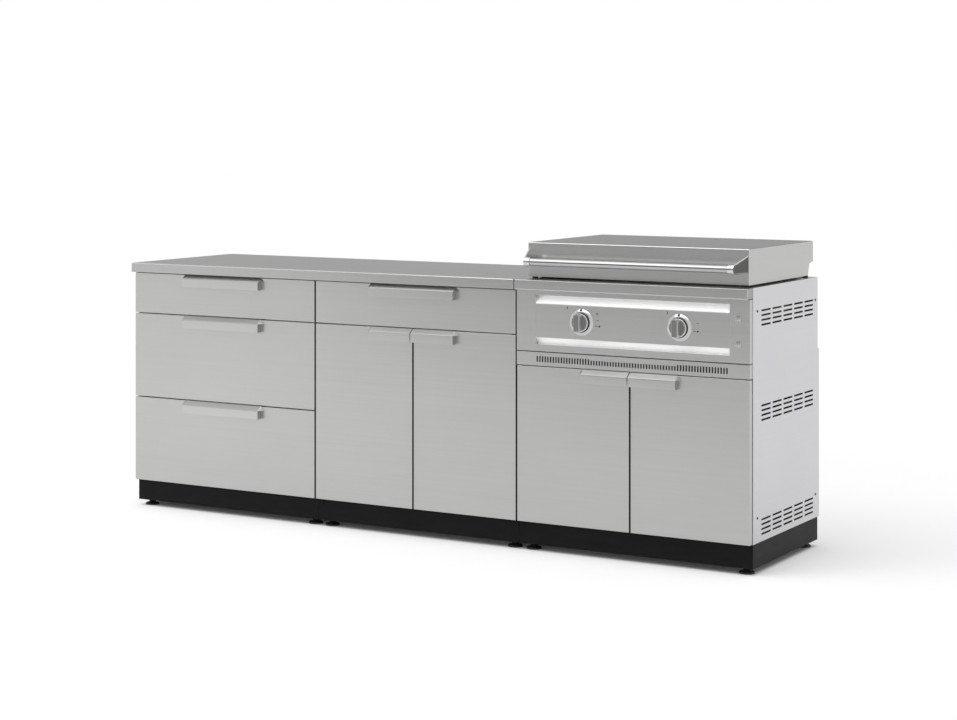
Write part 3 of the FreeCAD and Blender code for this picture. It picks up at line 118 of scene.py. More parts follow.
class Graph:
    """A node tree that is written as calls."""

    def __init__(self, tree):
        self.tree = tree

    def add(self, kind, settings=None, sockets=None, out=0):
        """A new node with its settings and its sockets' values or links. Gives one of its outputs."""
        node = self.tree.nodes.new(kind)
        for key, value in (settings or {}).items():
            if key == "stops":
                ramp = node.color_ramp
                ramp.elements[0].position, ramp.elements[1].position = value[0][0], value[-1][0]
                for place, _ in value[1:-1]:
                    ramp.elements.new(place)
                for element, (_, colour) in zip(ramp.elements, value):
                    element.color = colour
            else:
                setattr(node, key, value)
        for key, value in (sockets or {}).items():
            self.put(node.inputs[key], value)
        return Value(self, node.outputs[out])

    def put(self, socket, value):
        """Sets an input socket to a constant, or links outputs to it."""
        if isinstance(value, list):
            for each in value:
                self.put(socket, each)
        elif isinstance(value, Value):
            self.tree.links.new(value.socket, socket)
        else:
            socket.default_value = value


print("node helpers ready")

# %% [markdown]
# The studio is a white floor under a white sky, with a broad sun in it. The sky has a strength of 1
# where the camera, a reflection or a see-through part looks at it, so the background is plain white
# and the metal mirrors it, but it lights the object with less. Sun and sky light the floor the same
# everywhere. What they leave short of white, the floor adds as a glow of its own, worked out below
# from its colour and their strengths. Only where the object takes light away is it darker, so the
# shadow stays and no horizon shows. Right under the plinths nearly all of the glow stops, which is a
# painted shadow, because little light comes there in a studio either, and the object then stands
# firmly on its feet.

# %% Sky, sun and floor
SKY_LIGHT = 0.6
SUN_SHARE = 0.2          # what the sun adds to a flat white sheet, next to the sky's share
SUN_FROM = Vector((-0.55, -0.5, 1.0)).normalized()
SUN_WIDTH = 50.0         # degrees
FLOOR_COLOUR = 0.86
FLOOR_HALF = 40.0
# GLOW_STOPS and GLOW_UNDER shape a painted shadow: the floor's glow fades out under the plinths.
GLOW_STOPS = (-0.02, 0.012)      # metres from the plinths' outline, inside and outside
GLOW_UNDER = 0.1         # what is left of the glow under the plinths


def seen_white(graph):
    """1 for rays of the camera, of reflections and through glass, and 0 for the rest."""
    path = [graph.add("ShaderNodeLightPath", out=name)
            for name in ("Is Camera Ray", "Is Glossy Ray", "Is Transmission Ray")]
    either = path[0] + path[1] + path[2]
    return graph.add("ShaderNodeMath", {"operation": "MINIMUM"}, {0: either, 1: 1.0})


def staged(name, mesh, material=None):
    """Adds something of the studio that isn't part of the object."""
    thing = bpy.data.objects.new(name, mesh)
    if material:
        mesh.materials.append(material)
    scene.collection.objects.link(thing)
    return thing


def wall(name, corners):
    """A mesh of one flat face."""
    mesh = bpy.data.meshes.new(name)
    mesh.from_pydata(corners, [], [range(len(corners))])
    return mesh


world = bpy.data.worlds.new("sky")
scene.world = world
world.use_nodes = True
sky = Graph(world.node_tree)
backdrop = world.node_tree.nodes["Background"].inputs
sky.put(backdrop["Strength"], seen_white(sky) * (1 - SKY_LIGHT) + SKY_LIGHT)
sky.put(backdrop["Color"], (1, 1, 1, 1))

sun_lamp = bpy.data.lights.new("sun", "SUN")
sun_lamp.angle = math.radians(SUN_WIDTH)
sun_lamp.energy = SUN_SHARE * math.pi / SUN_FROM.z
sun = staged("sun", sun_lamp)
sun.rotation_euler = (-SUN_FROM).to_track_quat("-Z", "Y").to_euler()
sun.visible_glossy = False

paper = bpy.data.materials.new("studio_floor")
paper.use_nodes = True
sheet = Graph(paper.node_tree)
glow = 1 - FLOOR_COLOUR * (SKY_LIGHT + SUN_SHARE)
plinth_low, plinth_high = (Vector(p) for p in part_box("plinths"))
spot = sheet.add("ShaderNodeTexCoord", out="Object")
past = []                # how far a spot lies past the plinths' outline, along x and along y
for i in (0, 1):
    middle, half = (plinth_low[i] + plinth_high[i]) / 2, (plinth_high[i] - plinth_low[i]) / 2
    past.append(abs(sheet.add("ShaderNodeSeparateXYZ", {}, {0: spot}, out=i) - middle) - half)
outside = sheet.add("ShaderNodeMath", {"operation": "MAXIMUM"}, {0: past[0], 1: past[1]})
# lit is the mask of that painted shadow: full glow outside the plinths, GLOW_UNDER under them.
lit = sheet.add("ShaderNodeMapRange", {"interpolation_type": "SMOOTHSTEP"},
                {"Value": outside, "From Min": GLOW_STOPS[0], "From Max": GLOW_STOPS[1],
                 "To Min": GLOW_UNDER})
look = {"Base Color": (FLOOR_COLOUR,) * 3 + (1,), "Roughness": 0.9, "Specular IOR Level": 0.0,
        "Emission Color": (1, 1, 1, 1), "Emission Strength": seen_white(sheet) * lit * glow}
for socket, value in look.items():
    sheet.put(paper.node_tree.nodes["Principled BSDF"].inputs[socket], value)
f = FLOOR_HALF
ground = wall("studio_floor", [(-f, -f, 0), (f, -f, 0), (f, f, 0), (-f, f, 0)])
staged("studio_floor", ground, paper)
print("floor", 2 * f, "m square, glowing with", round(glow, 3))

# %% [markdown]
# Sheet metal shows its shape by what it mirrors. A white room all round would leave it flat, so three
# things stand near the object. A lamp at the front left brightens the near floor, and the fronts
# mirror that floor, which is why they are paler near the ground. A panel of light above is seen in
# the metal only. It draws the bright lines along the folds. A grey card stands at the front left,
# where no camera sees it. It is palest a fifth of the way up, where the lid's front mirrors it, and
# dark above a third, which gives the round handle its dark line.

# %% Lamps and the card
LAMPS = {        # place, aim, size in metres, watts, lights surfaces, shows in metal
    "above": ((0.2, -1.6, 3.7), (0.2, -0.2, 0.8), (4.5, 3.2), 68.0, False, True),
    "front_left": ((-3.0, -4.4, 2.6), (-0.4, -1.2, 0.0), (2.4, 1.6), 50.0, True, False),
}
for name, (place, aim, size, watts, lights, shows) in LAMPS.items():
    lamp = bpy.data.lights.new("lamp_" + name, "AREA")
    lamp.shape = "RECTANGLE"
    lamp.size, lamp.size_y = size
    lamp.energy = watts
    holder = staged("lamp_" + name, lamp)
    holder.location = place
    holder.rotation_euler = (Vector(aim) - Vector(place)).to_track_quat("-Z", "Y").to_euler()
    holder.visible_camera, holder.visible_diffuse, holder.visible_glossy = False, lights, shows

CARD_X, CARD_Y, CARD_TOP = (-3.35, 0.9), -5.2, 3.2
CARD_STOPS = (           # each is a share of the card's height, and the light that it sends there
    (0.0, 0.2), (0.06, 0.3), (0.11, 0.42), (0.17, 0.56), (0.2, 0.7), (0.24, 0.7), (0.33, 0.12), (1.0, 0.12))
card_paint = bpy.data.materials.new("grey_card")
card_paint.use_nodes = True
card_graph = Graph(card_paint.node_tree)
spot = card_graph.add("ShaderNodeTexCoord", out="Object")
height = card_graph.add("ShaderNodeSeparateXYZ", {}, {0: spot}, out=2)
greys = [(share, (light,) * 3 + (1,)) for share, light in CARD_STOPS]
levels = card_graph.add("ShaderNodeValToRGB", {"stops": greys}, {0: height / CARD_TOP})
card_light = card_graph.add("ShaderNodeEmission", {}, {"Color": levels})
card_graph.put(card_paint.node_tree.nodes["Material Output"].inputs["Surface"], card_light)
a, b = CARD_X
front = wall("grey_card", [(a, CARD_Y, 0), (a, CARD_Y, CARD_TOP), (b, CARD_Y, CARD_TOP), (b, CARD_Y, 0)])
card = staged("grey_card", front, card_paint)
card.visible_camera = card.visible_diffuse = card.visible_shadow = False
print("lamps", list(LAMPS), "and a card", round(b - a, 1), "m wide")

# %% [markdown]
# Brushed stainless is the finish of nearly everything here. A belt draws fine lines along the sheet
# before it is folded, so its colour and gloss change quickly across the lines and slowly along them.
# A noise that is squeezed across and stretched along one axis gives that. It reads the object's own
# metres, so the lines keep their real size on every piece. The strongest part is in the roughness,
# because that is where the real sheet differs, and only a trace is in the colour.

# %% Greys, and noise in real sizes
def grey(level):
    """The shader's value for a grey from 0 to 255 as a screen shows it."""
    part = level / 255
    return part / 12.92 if part <= 0.04045 else ((part + 0.055) / 1.055) ** 2.4


FINISHES = {}


class Finish(Graph):
    """A finish of the object: one surface shader, and patterns on the object's own metres."""

    def __init__(self, name, **constants):
        FINISHES[name] = self
        self.material = bpy.data.materials.new(name + "_finish")
        self.material.use_nodes = True
        super().__init__(self.material.node_tree)
        self.shader = self.tree.nodes["Principled BSDF"]
        for key, value in constants.items():
            self.feed(key.replace("_", " "), value)
        self.place = self.add("ShaderNodeTexCoord", out="Object")

    def feed(self, socket, value):
        """Sets or links an input of the surface shader."""
        self.put(self.shader.inputs[socket], value)

    def noise(self, sizes, detail=2.0, seed=0.0):
        """Noise whose blobs are sizes (x, y, z) in metres, from 0 to 1 around 0.5."""
        scale = tuple(1 / s for s in sizes)
        point = self.add("ShaderNodeMapping", {},
                         {"Vector": self.place, "Scale": scale, "Location": (seed,) * 3})
        return self.add("ShaderNodeTexNoise", {},
                        {"Vector": point, "Scale": 1.0, "Detail": detail, "Roughness": 0.55})

    def between(self, mask, dark, light):
        """A colour that goes from dark to light with the mask."""
        low, high = [c if isinstance(c, (tuple, Value)) else (grey(c),) * 3 + (1,) for c in (dark, light)]
        return self.add("ShaderNodeMix", {"data_type": "RGBA"}, {0: mask, 6: low, 7: high}, out=2)

    def ramp(self, value, *stops):
        """A number that follows stops of (place, level)."""
        greys = [(place, (level,) * 3 + (1,)) for place, level in stops]
        return self.add("ShaderNodeValToRGB", {"stops": greys}, {0: value})

    def raise_by(self, height, metres, strength=1.0):
        """Relief: height goes from 0 to 1 over so many metres."""
        sockets = {"Height": height, "Distance": metres, "Strength": strength}
        self.feed("Normal", self.add("ShaderNodeBump", {}, sockets))


print("white card reads", round(grey(255), 3), "mid grey", round(grey(128), 3))

# %% Brushed sheet
LINE_WIDE, LINE_LONG = 0.0009, 0.12      # the fine lines of the belt, in metres
BAND_WIDE, BAND_LONG = 0.006, 0.9        # broader bands of them
CLOUD = 0.35                             # and soft patches


def brushed(name, level, along, spread=4, rough=(0.26, 0.38), edge=1.0, blue=0.985):
    """Sheet with grain along one axis, around a grey level. Edge tints what it mirrors at a glance."""
    finish = Finish(name, Metallic=1.0, Specular_Tint=(edge, edge, edge, 1))
    fine, broad = [LINE_WIDE] * 3, [BAND_WIDE] * 3
    fine[along], broad[along] = LINE_LONG, BAND_LONG
    lines = finish.noise(fine, detail=3.0)
    bands = finish.noise(broad, detail=2.0, seed=3.0)
    cloud = finish.noise((CLOUD,) * 3, detail=3.0, seed=7.0)
    mask = lines * 0.3 + bands * 0.4 + cloud * 0.3
    dark, light = [(g, g, g * blue, 1) for g in (grey(level - spread), grey(level + spread))]
    finish.feed("Base Color", finish.between(finish.ramp(mask, (0.3, 0), (0.7, 1)), dark, light))
    finish.feed("Roughness", lines * (rough[1] - rough[0]) + bands * 0.06 + (rough[0] - 0.03))
    finish.raise_by(lines * 0.8 + bands * 0.2, 0.00002, 0.3)


brushed("brushed_stainless", 187, along=0)
# A dark finish for the sides of fronts that face a close neighbour: painted shade in the gaps.
brushed("edge_stainless", 60, along=2)
brushed("worktop_stainless", 182, along=0, edge=0.45)
brushed("panel_stainless", 188, along=0)
brushed("lid_stainless", 196, along=0, edge=0.22, rough=(0.17, 0.24))
brushed("lid_side_stainless", 186, along=1)
# On the folds of the worktop and the griddle's trim this paler finish is a painted highlight.
brushed("fold_stainless", 204, along=0, spread=3, rough=(0.18, 0.28))
brushed("pull_stainless", 191, along=0, spread=2, rough=(0.26, 0.32))
# Rougher than the lip, and darker: the darker colour is painted shade on the faces that look up.
brushed("web_stainless", 178, along=0, spread=2, rough=(0.5, 0.56))
# Darker than the lip: painted shade for the channel's open end.
brushed("cheek_stainless", 168, along=2, spread=2, rough=(0.3, 0.36))
brushed("knob_stainless", 138, along=2, spread=8, rough=(0.26, 0.38))
# Paler than the knob's face: painted light for the grip's flanks.
brushed("knob_side_stainless", 205, along=2, spread=6, rough=(0.30, 0.42))
brushed("dish_stainless", 92, along=2, spread=8, rough=(0.24, 0.36))
# Paler than the fronts' brushed steel, though the same metal: painted light that makes the side panels show
# brighter.
brushed("carcass_steel", 205, along=1, rough=(0.30, 0.42), blue=1.02)
print("brushed finishes", list(FINISHES))

# %% [markdown]
# The handle, the bezels and the rims of the knobs are polished. Their roughness is low, so they
# mirror in bands, and faint lines from the buffing wheel stay in them. The grooves of the knob panel
# get a nearly white finish, a painted reflection. Zinc plated parts are duller and blotchy. The
# plinths are black powder coat: a fine orange peel that is nearly flat black in front and catches
# light at the side.

# %% Polished, plated and painted metal
def polished(name, level, rough):
    """Buffed metal around a grey level."""
    finish = Finish(name, Metallic=1.0)
    lines = finish.noise((0.25, 0.0012, 0.0012), detail=2.0)
    smear = finish.noise((0.05, 0.05, 0.05), detail=3.0, seed=5.0)
    finish.feed("Base Color", finish.between(lines * 0.5 + smear * 0.5, level - 6, level + 6))
    finish.feed("Roughness", smear * 0.08 + lines * 0.05 + (rough - 0.06))
    finish.raise_by(lines, 0.00001, 0.4)


polished("polished_stainless", 205, 0.2)
polished("handle_stainless", 178, 0.2)
polished("bezel_stainless", 192, 0.16)
# A painted reflection: nearly white, for the strips in the knob panel's grooves.
polished("bright_lining", 249, 0.5)


def mottled(name, sizes, detail, dark, light, rough, relief, strength, **constants):
    """A finish whose colour, roughness (spread, base) and relief all follow one noise."""
    finish = Finish(name, **constants)
    blobs = finish.noise(sizes, detail=detail)
    finish.feed("Base Color", finish.between(blobs, dark, light))
    finish.feed("Roughness", blobs * rough[0] + rough[1])
    finish.raise_by(blobs, relief, strength)


mottled("zinc_steel", (0.009,) * 3, 4.0, (0.36, 0.38, 0.41, 1), (0.62, 0.64, 0.66, 1), (0.25, 0.28),
        0.00006, 0.4, Metallic=1.0)

coat = Finish("black_steel", Metallic=0.0, Specular_IOR_Level=0.15)
peel = coat.noise((0.0025,) * 3, detail=2.0)
dust = coat.noise((0.09, 0.09, 0.03), detail=4.0, seed=2.0)
coat.feed("Base Color", coat.between(coat.ramp(dust, (0.35, 0), (0.75, 1)), 8, 17))
coat.feed("Roughness", dust * 0.14 + peel * 0.08 + 0.38)
coat.raise_by(peel, 0.0001, 0.35)

plastic = Finish("black_plastic", Metallic=0.0)
speck = plastic.noise((0.0012,) * 3, detail=3.0)
scuff = plastic.noise((0.03, 0.03, 0.008), detail=4.0, seed=4.0)
plastic.feed("Base Color", plastic.between(scuff, 14, 30))
plastic.feed("Roughness", scuff * 0.2 + 0.45)
plastic.raise_by(speck, 0.0001, 0.5)

mottled("pad_rubber", (0.0008,) * 3, 3.0, 12, 26, (0.15, 0.75), 0.0001, 0.6)
print("zinc, powder coat, plastic and rubber")

# %% [markdown]
# The griddle's own parts show when the lid is up. The cooking plate is thick steel that has been
# oiled and burnt in: nearly black, with brownish patches and fine scraper lines. The firebox is
# dark enamel with pale specks. The burners are steel that heat has tinted from straw to blue along
# the rows of ports. Under the worktop lies a pressed board that is sealed with grey film.

# %% Griddle, gas and board
plate = Finish("plate_iron", Metallic=0.85)
patches = plate.noise((0.11,) * 3, detail=5.0)
scrapes = plate.noise((0.0018, 0.22, 0.01), detail=3.0, seed=6.0)
burnt = plate.between(plate.ramp(patches, (0.4, 0), (0.68, 1)),
                      (0.022, 0.021, 0.020, 1), (0.075, 0.062, 0.050, 1))
plate.feed("Base Color", plate.between(plate.ramp(scrapes, (0.62, 0), (0.8, 0.35)),
                                       burnt, (0.20, 0.19, 0.18, 1)))
plate.feed("Roughness", patches * 0.25 + scrapes * 0.12 + 0.24)
plate.raise_by(patches * 0.5 + scrapes * 0.5, 0.00015, 0.5)

enamel = Finish("enamelled_box", Metallic=0.0, Coat_Roughness=0.12)
specks = enamel.ramp(enamel.noise((0.0035,) * 3, detail=2.0), (0.66, 0), (0.7, 1))
wave = enamel.noise((0.05,) * 3, detail=2.0, seed=8.0)
enamel.feed("Base Color", enamel.between(specks, 26, 84))
enamel.feed("Coat Weight", wave * 0.3 + 0.35)
enamel.feed("Roughness", wave * 0.2 + 0.3)
enamel.raise_by(wave, 0.0004, 0.4)

burner = Finish("burner_steel", Metallic=1.0)
heat = burner.noise((0.07, 0.05, 0.02), detail=3.0)
straw = burner.between(burner.ramp(heat, (0.35, 0), (0.6, 1)),
                       (0.50, 0.49, 0.47, 1), (0.42, 0.31, 0.19, 1))
burner.feed("Base Color", burner.between(burner.ramp(heat, (0.55, 0), (0.75, 0.8)),
                                         straw, (0.17, 0.19, 0.28, 1)))
burner.feed("Roughness", burner.noise((0.002, 0.04, 0.002), detail=2.0, seed=1.0) * 0.2 + 0.26)
burner.raise_by(heat, 0.0002, 0.3)

mottled("gas_brass", (0.012,) * 3, 4.0, (0.52, 0.37, 0.14, 1), (0.78, 0.61, 0.30, 1), (0.22, 0.2),
        0.00006, 0.4, Metallic=1.0)
mottled("core_board", (0.014, 0.014, 0.003), 5.0, (0.34, 0.335, 0.32, 1), (0.46, 0.455, 0.44, 1),
        (0.2, 0.65), 0.0005, 0.6)

# Two pieces get another finish than the one their slot asks for.
OTHERS = {"door_pivot_leaves": "black_steel", "lid_handle_tube": "handle_stainless"}
slot_of = {name: node.material_slots[0].material.name for name, node in nodes.items()}
for name, node in nodes.items():
    node.material_slots[0].material = FINISHES[OTHERS.get(name, slot_of[name])].material
print(len(FINISHES), "finishes on", len(nodes), "pieces")

# %% [markdown]
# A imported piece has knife-sharp edges, and real folded sheet has none: a press brake leaves a
# rounded fold, and a fold is what catches the light as a thin bright line. So the pieces that show
# most are copied, their triangles are merged back to whole faces, and their edges are bevelled. A
# fold lies between two broad faces and gets the larger radius. The cut edge of a sheet is only as
# wide as the sheet is thick and gets a small one.

# %% Helpers for finer pieces
BROAD = 0.003            # metres; a face that is wider than this on average is broad
WELD = 2e-6              # metres; points that are closer are one
FLAT = math.radians(0.4)         # faces that meet at less lie in one plane
members_of = frame["record"]["behaviour"]["bodies"]
body_of = {node: body for body, members in members_of.items() for node in members}


def baked(mesh, *modifiers):
    """The plain mesh that comes out of a mesh and its modifiers."""
    worker = bpy.data.objects.new("worker", mesh)
    scene.collection.objects.link(worker)
    for kind, settings in modifiers:
        modifier = worker.modifiers.new(kind, kind)
        for key, value in settings.items():
            if key.startswith("Socket"):     # an input of a node tree
                modifier[key] = value
            else:
                setattr(modifier, key, value)
    graph = bpy.context.evaluated_depsgraph_get()
    result = bpy.data.meshes.new_from_object(worker.evaluated_get(graph), depsgraph=graph)
    bpy.data.objects.remove(worker)
    return result


def placed(name, mesh, body, slot, *stands_for, finish=None):
    """Puts a mesh on its body, in the finish of its slot, or in one for each material of its faces."""
    mesh.name = name
    finishes = [finish] if isinstance(finish, str) else (finish or [slot])
    while len(mesh.materials) < len(finishes):
        mesh.materials.append(None)
    for i, each in enumerate(finishes):
        mesh.materials[i] = FINISHES[each].material
    piece = bpy.data.objects.new(name, mesh)
    scene.collection.objects.link(piece)
    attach(piece, body)
    if stands_for:
        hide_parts(*stands_for)
    return piece


def as_mesh(shape, sharp=None):
    """A mesh from a bmesh, flat, or smooth except over edges sharper than so many degrees."""
    for f in shape.faces:
        f.smooth = sharp is not None
    mesh = bpy.data.meshes.new("shape")
    shape.to_mesh(mesh)
    shape.free()
    if sharp is not None:
        mesh.set_sharp_from_angle(angle=math.radians(sharp))
    return mesh


def eased(shape, fold, edge, sharp=25.0, segments=3, second=False):
    """Rounded folds and eased cut edges, which may take the second material."""
    weight = shape.edges.layers.float.new("bevel_weight_edge")
    broad = {f: 2 * f.calc_area() / sum(e.calc_length() for e in f.edges) > BROAD for f in shape.faces}
    for e in shape.edges:
        if len(e.link_faces) == 2 and e.calc_face_angle(0) > math.radians(sharp):
            is_fold = e.is_convex and all(broad[f] for f in e.link_faces)
            e[weight] = 1.0 if is_fold else edge / fold
    mesh = as_mesh(shape)
    mesh.shade_smooth()
    bevel = {"width": fold, "segments": segments, "limit_method": "WEIGHT", "use_clamp_overlap": False,
             "miter_outer": "MITER_ARC"}
    if second:
        for _ in range(2 - len(mesh.materials)):
            mesh.materials.append(None)
        bevel["material"] = 1
    return baked(mesh, ("BEVEL", bevel), ("WEIGHTED_NORMAL", {"keep_sharp": True, "weight": 60}))


def merged_copy(node):
    """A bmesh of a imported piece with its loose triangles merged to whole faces."""
    mesh = nodes[node].data.copy()
    if "custom_normal" in mesh.attributes:
        mesh.attributes.remove(mesh.attributes["custom_normal"])
    shape = bmesh.new()
    shape.from_mesh(mesh)
    bpy.data.meshes.remove(mesh)
    bmesh.ops.remove_doubles(shape, verts=shape.verts, dist=WELD)
    bmesh.ops.dissolve_limit(shape, angle_limit=FLAT, verts=shape.verts, edges=shape.edges)
    return shape


def block(low, high):
    """A box from its lowest to its highest corner."""
    shape = bmesh.new()
    bmesh.ops.create_cube(shape, size=1.0)
    for v in shape.verts:
        v.co = Vector(low[i] if v.co[i] < 0 else high[i] for i in range(3))
    return shape


def tube(shape, rings, capped=False):
    """Faces from each ring of points to the next, and over the first and last ring if it is capped."""
    if capped:
        shape.faces.new(rings[0])
        shape.faces.new(rings[-1][::-1])
    for one, two in zip(rings, rings[1:]):
        for i in range(len(one)):
            j = (i + 1) % len(one)
            corners = list(dict.fromkeys((one[i], one[j], two[j], two[i])))
            if len(corners) > 2:
                shape.faces.new(corners)
    bmesh.ops.recalc_face_normals(shape, faces=shape.faces)


def softened(node, fold, edge=0.35 * MM, finish=None):
    """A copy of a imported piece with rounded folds, which stands for it."""
    mesh = eased(merged_copy(node), fold, edge, second=isinstance(finish, tuple))
    return placed(node + "_soft", mesh, body_of[node], slot_of[node], node, finish=finish)


# The worktop's upper front fold gets a paler finish, a painted highlight, and so does the lower
# one of the griddle's trim. The faces of such a fold lean forward, and up or down, but hardly to
# the side.
SLANT, ASIDE = 0.2, 0.3
for node, way in (("countertop", 1), ("griddle_deck", -1)):
    piece = softened(node, 3.0 * MM, finish=("worktop_stainless", "fold_stainless"))
    for f in piece.data.polygons:
        painted_highlight = f.normal.y < -SLANT and f.normal.z * way > SLANT and abs(f.normal.x) < ASIDE
        f.material_index = 1 if painted_highlight and f.material_index else 0
    print(piece.name, len(piece.data.polygons), "faces")

# %% [markdown]
# A pull is a strip of sheet that is hooked over a front's top edge, slopes down and out, and hangs
# in front of it as a lip. The sloping web is duller than the lip, because it is finished by hand, and
# its darker colour, on all faces that look up, is painted shade. Small cheeks close the channel
# behind the lip, at both ends on a drawer and at the outer end on a door. They stand where the open
# end shows only shade, and their darker finish paints that shade.

# %% Pulls
PULL_SHEET = 1.5 * MM
WEB_TILT = 0.3           # a web's face looks up by more than this
CHEEK, HIP, LIP = 1.5 * MM, 14.0 * MM, 30.0 * MM     # a cheek's sheet, its place from the end, its height
PULLED = ("bottom_drawer", "middle_drawer", "top_drawer", "storage_drawer",
          "storage_left_door", "storage_right_door", "griddle_left_door", "griddle_right_door")
# Faces that look up, the lip's upper fold among them, take the darker web finish as painted shade, and the
# cheeks' darker finish is painted shade for the channel's open end.
for name in PULLED:
    piece = softened(name + "_pull", 3.4 * MM, finish=("pull_stainless", "web_stainless"))
    for f in piece.data.polygons:
        f.material_index = 1 if f.normal.z > WEB_TILT else 0
    low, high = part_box(name + "_pull")
    front_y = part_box(name if name.endswith("door") else name + "_front")[0][1]
    for side, x in (("left", low[0] + HIP), ("right", high[0] - HIP - CHEEK)):
        if name.endswith("door") and side not in name:
            continue
        cheek = block((x, low[1] + PULL_SHEET, low[2]), (x + CHEEK, front_y - 0.1 * MM, low[2] + LIP))
        placed(name + "_pull_cheek_" + side, eased(cheek, 0.3 * MM, 0.3 * MM, segments=1),
               body_of[name + "_pull"], slot_of[name + "_pull"], finish="cheek_stainless")
print(len(PULLED), "pulls,", len(piece.data.polygons), "faces each")

# %% [markdown]
# The drawer and door fronts are shallow pans, folded round a flat liner. In front they are plain,
# with a 2 mm fold all round. Behind, a fine seam shows where the liner meets the pan's return, so
# the panel is worth looking at when it stands open. Each is made as a block whose back face is
# inset four times to sink the seam and raise the liner again.

# %% Fronts
FOLD = 2.0 * MM
RETURN = 14.0 * MM
SEAM = 0.8 * MM
LEAN = 0.15              # a face whose normal leans further aside belongs to a side or its fold
NEAR = 5 * MM
outer_sides = (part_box("bottom_drawer_front")[0][0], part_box("griddle_right_door")[1][0])


def front_panel(node):
    """A front with folds and a liner. Its sides are painted shade where a neighbour stands close."""
    low, high = (Vector(p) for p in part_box(node))
    shape = block(low, high)
    shape.normal_update()
    back = [f for f in shape.faces if f.normal.y > 0.9]
    for thickness, depth in ((RETURN, 0.0), (SEAM, -SEAM), (SEAM, 0.0), (SEAM / 4, SEAM)):
        bmesh.ops.inset_region(shape, faces=back, thickness=thickness, depth=depth)
    bmesh.ops.recalc_face_normals(shape, faces=shape.faces)
    shape.normal_update()
    mesh = eased(shape, FOLD, 0.25 * MM, second=True)
    outer = [x for x, end in zip((low.x, high.x), outer_sides) if abs(x - end) < NEAR]
    for f in mesh.polygons:
        hidden = abs(f.normal.x) > LEAN and not any(abs(f.center.x - x) < FOLD for x in outer)
        f.material_index = 1 if hidden else 0
    return placed(node + "_skin", mesh, body_of[node], "brushed_stainless", node,
                  finish=("brushed_stainless", "edge_stainless"))


fronts = [front_panel(n if n.endswith("door") else n + "_front") for n in PULLED]
print(len(fronts), "fronts,", len(fronts[0].data.polygons), "faces each")

# %% [markdown]
# Between the cabinets and between each pair of doors the photograph shows a black line. A thin fin in
# black rubber finish stands in each upright gap, about a millimetre behind the fronts, as painted shade
# that darkens the gap. The ones between cabinets are fixed. The ones between doors sit on the edge of
# the left door and swing with it, so they leave more room to the right door. A strip of the same black
# fills the joint between the worktop and the griddle's deck, painted shade as well.

# %% Black fins and the worktop's joint strip, painted shade in the gaps
FIN_FRONT, FIN_BACK = 1.2 * MM, 18.0 * MM        # from the faces of the fronts
FIRST_FIN_FRONT = 0.2 * MM       # the one between the two left cabinets stands further forward
AIR, SWING = 0.5 * MM, 0.4 * MM  # left free at an edge, and what a swinging fin leaves besides
JOINT_AIR, JOINT_IN, JOINT_LONG = 0.05 * MM, 0.3 * MM, 20 * MM
face_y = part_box("storage_left_door")[0][1]


def fin(name, left, right, body, heights=None, front=FIN_FRONT):
    """A black fin of painted shade in the gap between two fronts, as tall as both or between two heights."""
    (left_low, left_high), (right_low, right_high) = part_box(left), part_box(right)
    bottom, top = heights or (max(left_low[2], right_low[2]), min(left_high[2], right_high[2]))
    fixed = body == "island"
    start = left_high[0] + (AIR if fixed else 0)
    end = right_low[0] - AIR - (0 if fixed else SWING)
    shape = block((start, face_y + front, bottom + AIR), (end, face_y + FIN_BACK, top - AIR))
    placed(name, eased(shape, 0.3 * MM, 0.2 * MM), body, "pad_rubber")


# Each fin is a black sheet of painted shade in its gap.
whole = (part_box("bottom_drawer_front")[0][2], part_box("top_drawer_front")[1][2])
fin("fin_drawers_storage", "bottom_drawer_front", "storage_left_door", "island", whole, FIRST_FIN_FRONT)
fin("fin_storage_griddle", "storage_right_door", "griddle_left_door", "island", whole)
fin("fin_storage_doors", "storage_left_door", "storage_right_door", body_of["storage_left_door"])
fin("fin_griddle_doors", "griddle_left_door", "griddle_right_door", body_of["griddle_left_door"])

# The strip in the worktop's joint is painted shade too.
top_low, top_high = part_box("countertop")
deck_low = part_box("griddle_deck")[0]
joint_y = max(deck_low[1], top_low[1]) + JOINT_IN
joint = block((top_high[0] + JOINT_AIR, joint_y, max(deck_low[2], top_low[2]) + AIR),
              (deck_low[0] - JOINT_AIR, joint_y + JOINT_LONG, top_high[2] - AIR))
placed("worktop_seam", eased(joint, 0.1 * MM, 0.1 * MM, segments=1), "island", "pad_rubber")
print("four fins,", round((FIN_BACK - FIN_FRONT) / MM, 1), "mm deep, and a strip in the worktop's joint")

# %% [markdown]
# The knob panel has two long grooves. In the photograph they are nearly white, because they mirror
# the lit floor and sky. Thin strips in a pale, soft finish lie on the slopes and ledges of the packed
# panel and paint that reflection, while the ends keep the panel's own finish. A fine weld line stands
# at each end.

# %% Painted reflections in the grooves
GROOVE_X = (0.0720, 0.0697)      # from the griddle cabinet's left and right side
GROOVE_DEPTH, GROOVE_LIP = 20.0 * MM, 1.5 * MM
GROOVE_Z = ((0.7155, 0.6900), (0.8245, 0.8535))   # edge on the panel's middle, and the far ledge
REFLECTION_STRIP = (0.08 * MM, 0.38 * MM)  # its back and front, from the panel's surface
DECK_IN = 1.2 * MM               # the deck ends so far inside the cabinet's sides
left_x, right_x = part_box("griddle_deck")[0][0] - DECK_IN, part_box("griddle_deck")[1][0] + DECK_IN
panel_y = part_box("control_panel")[0][1]
ends = (left_x + GROOVE_X[0] + AIR, right_x - GROOVE_X[1] - AIR)


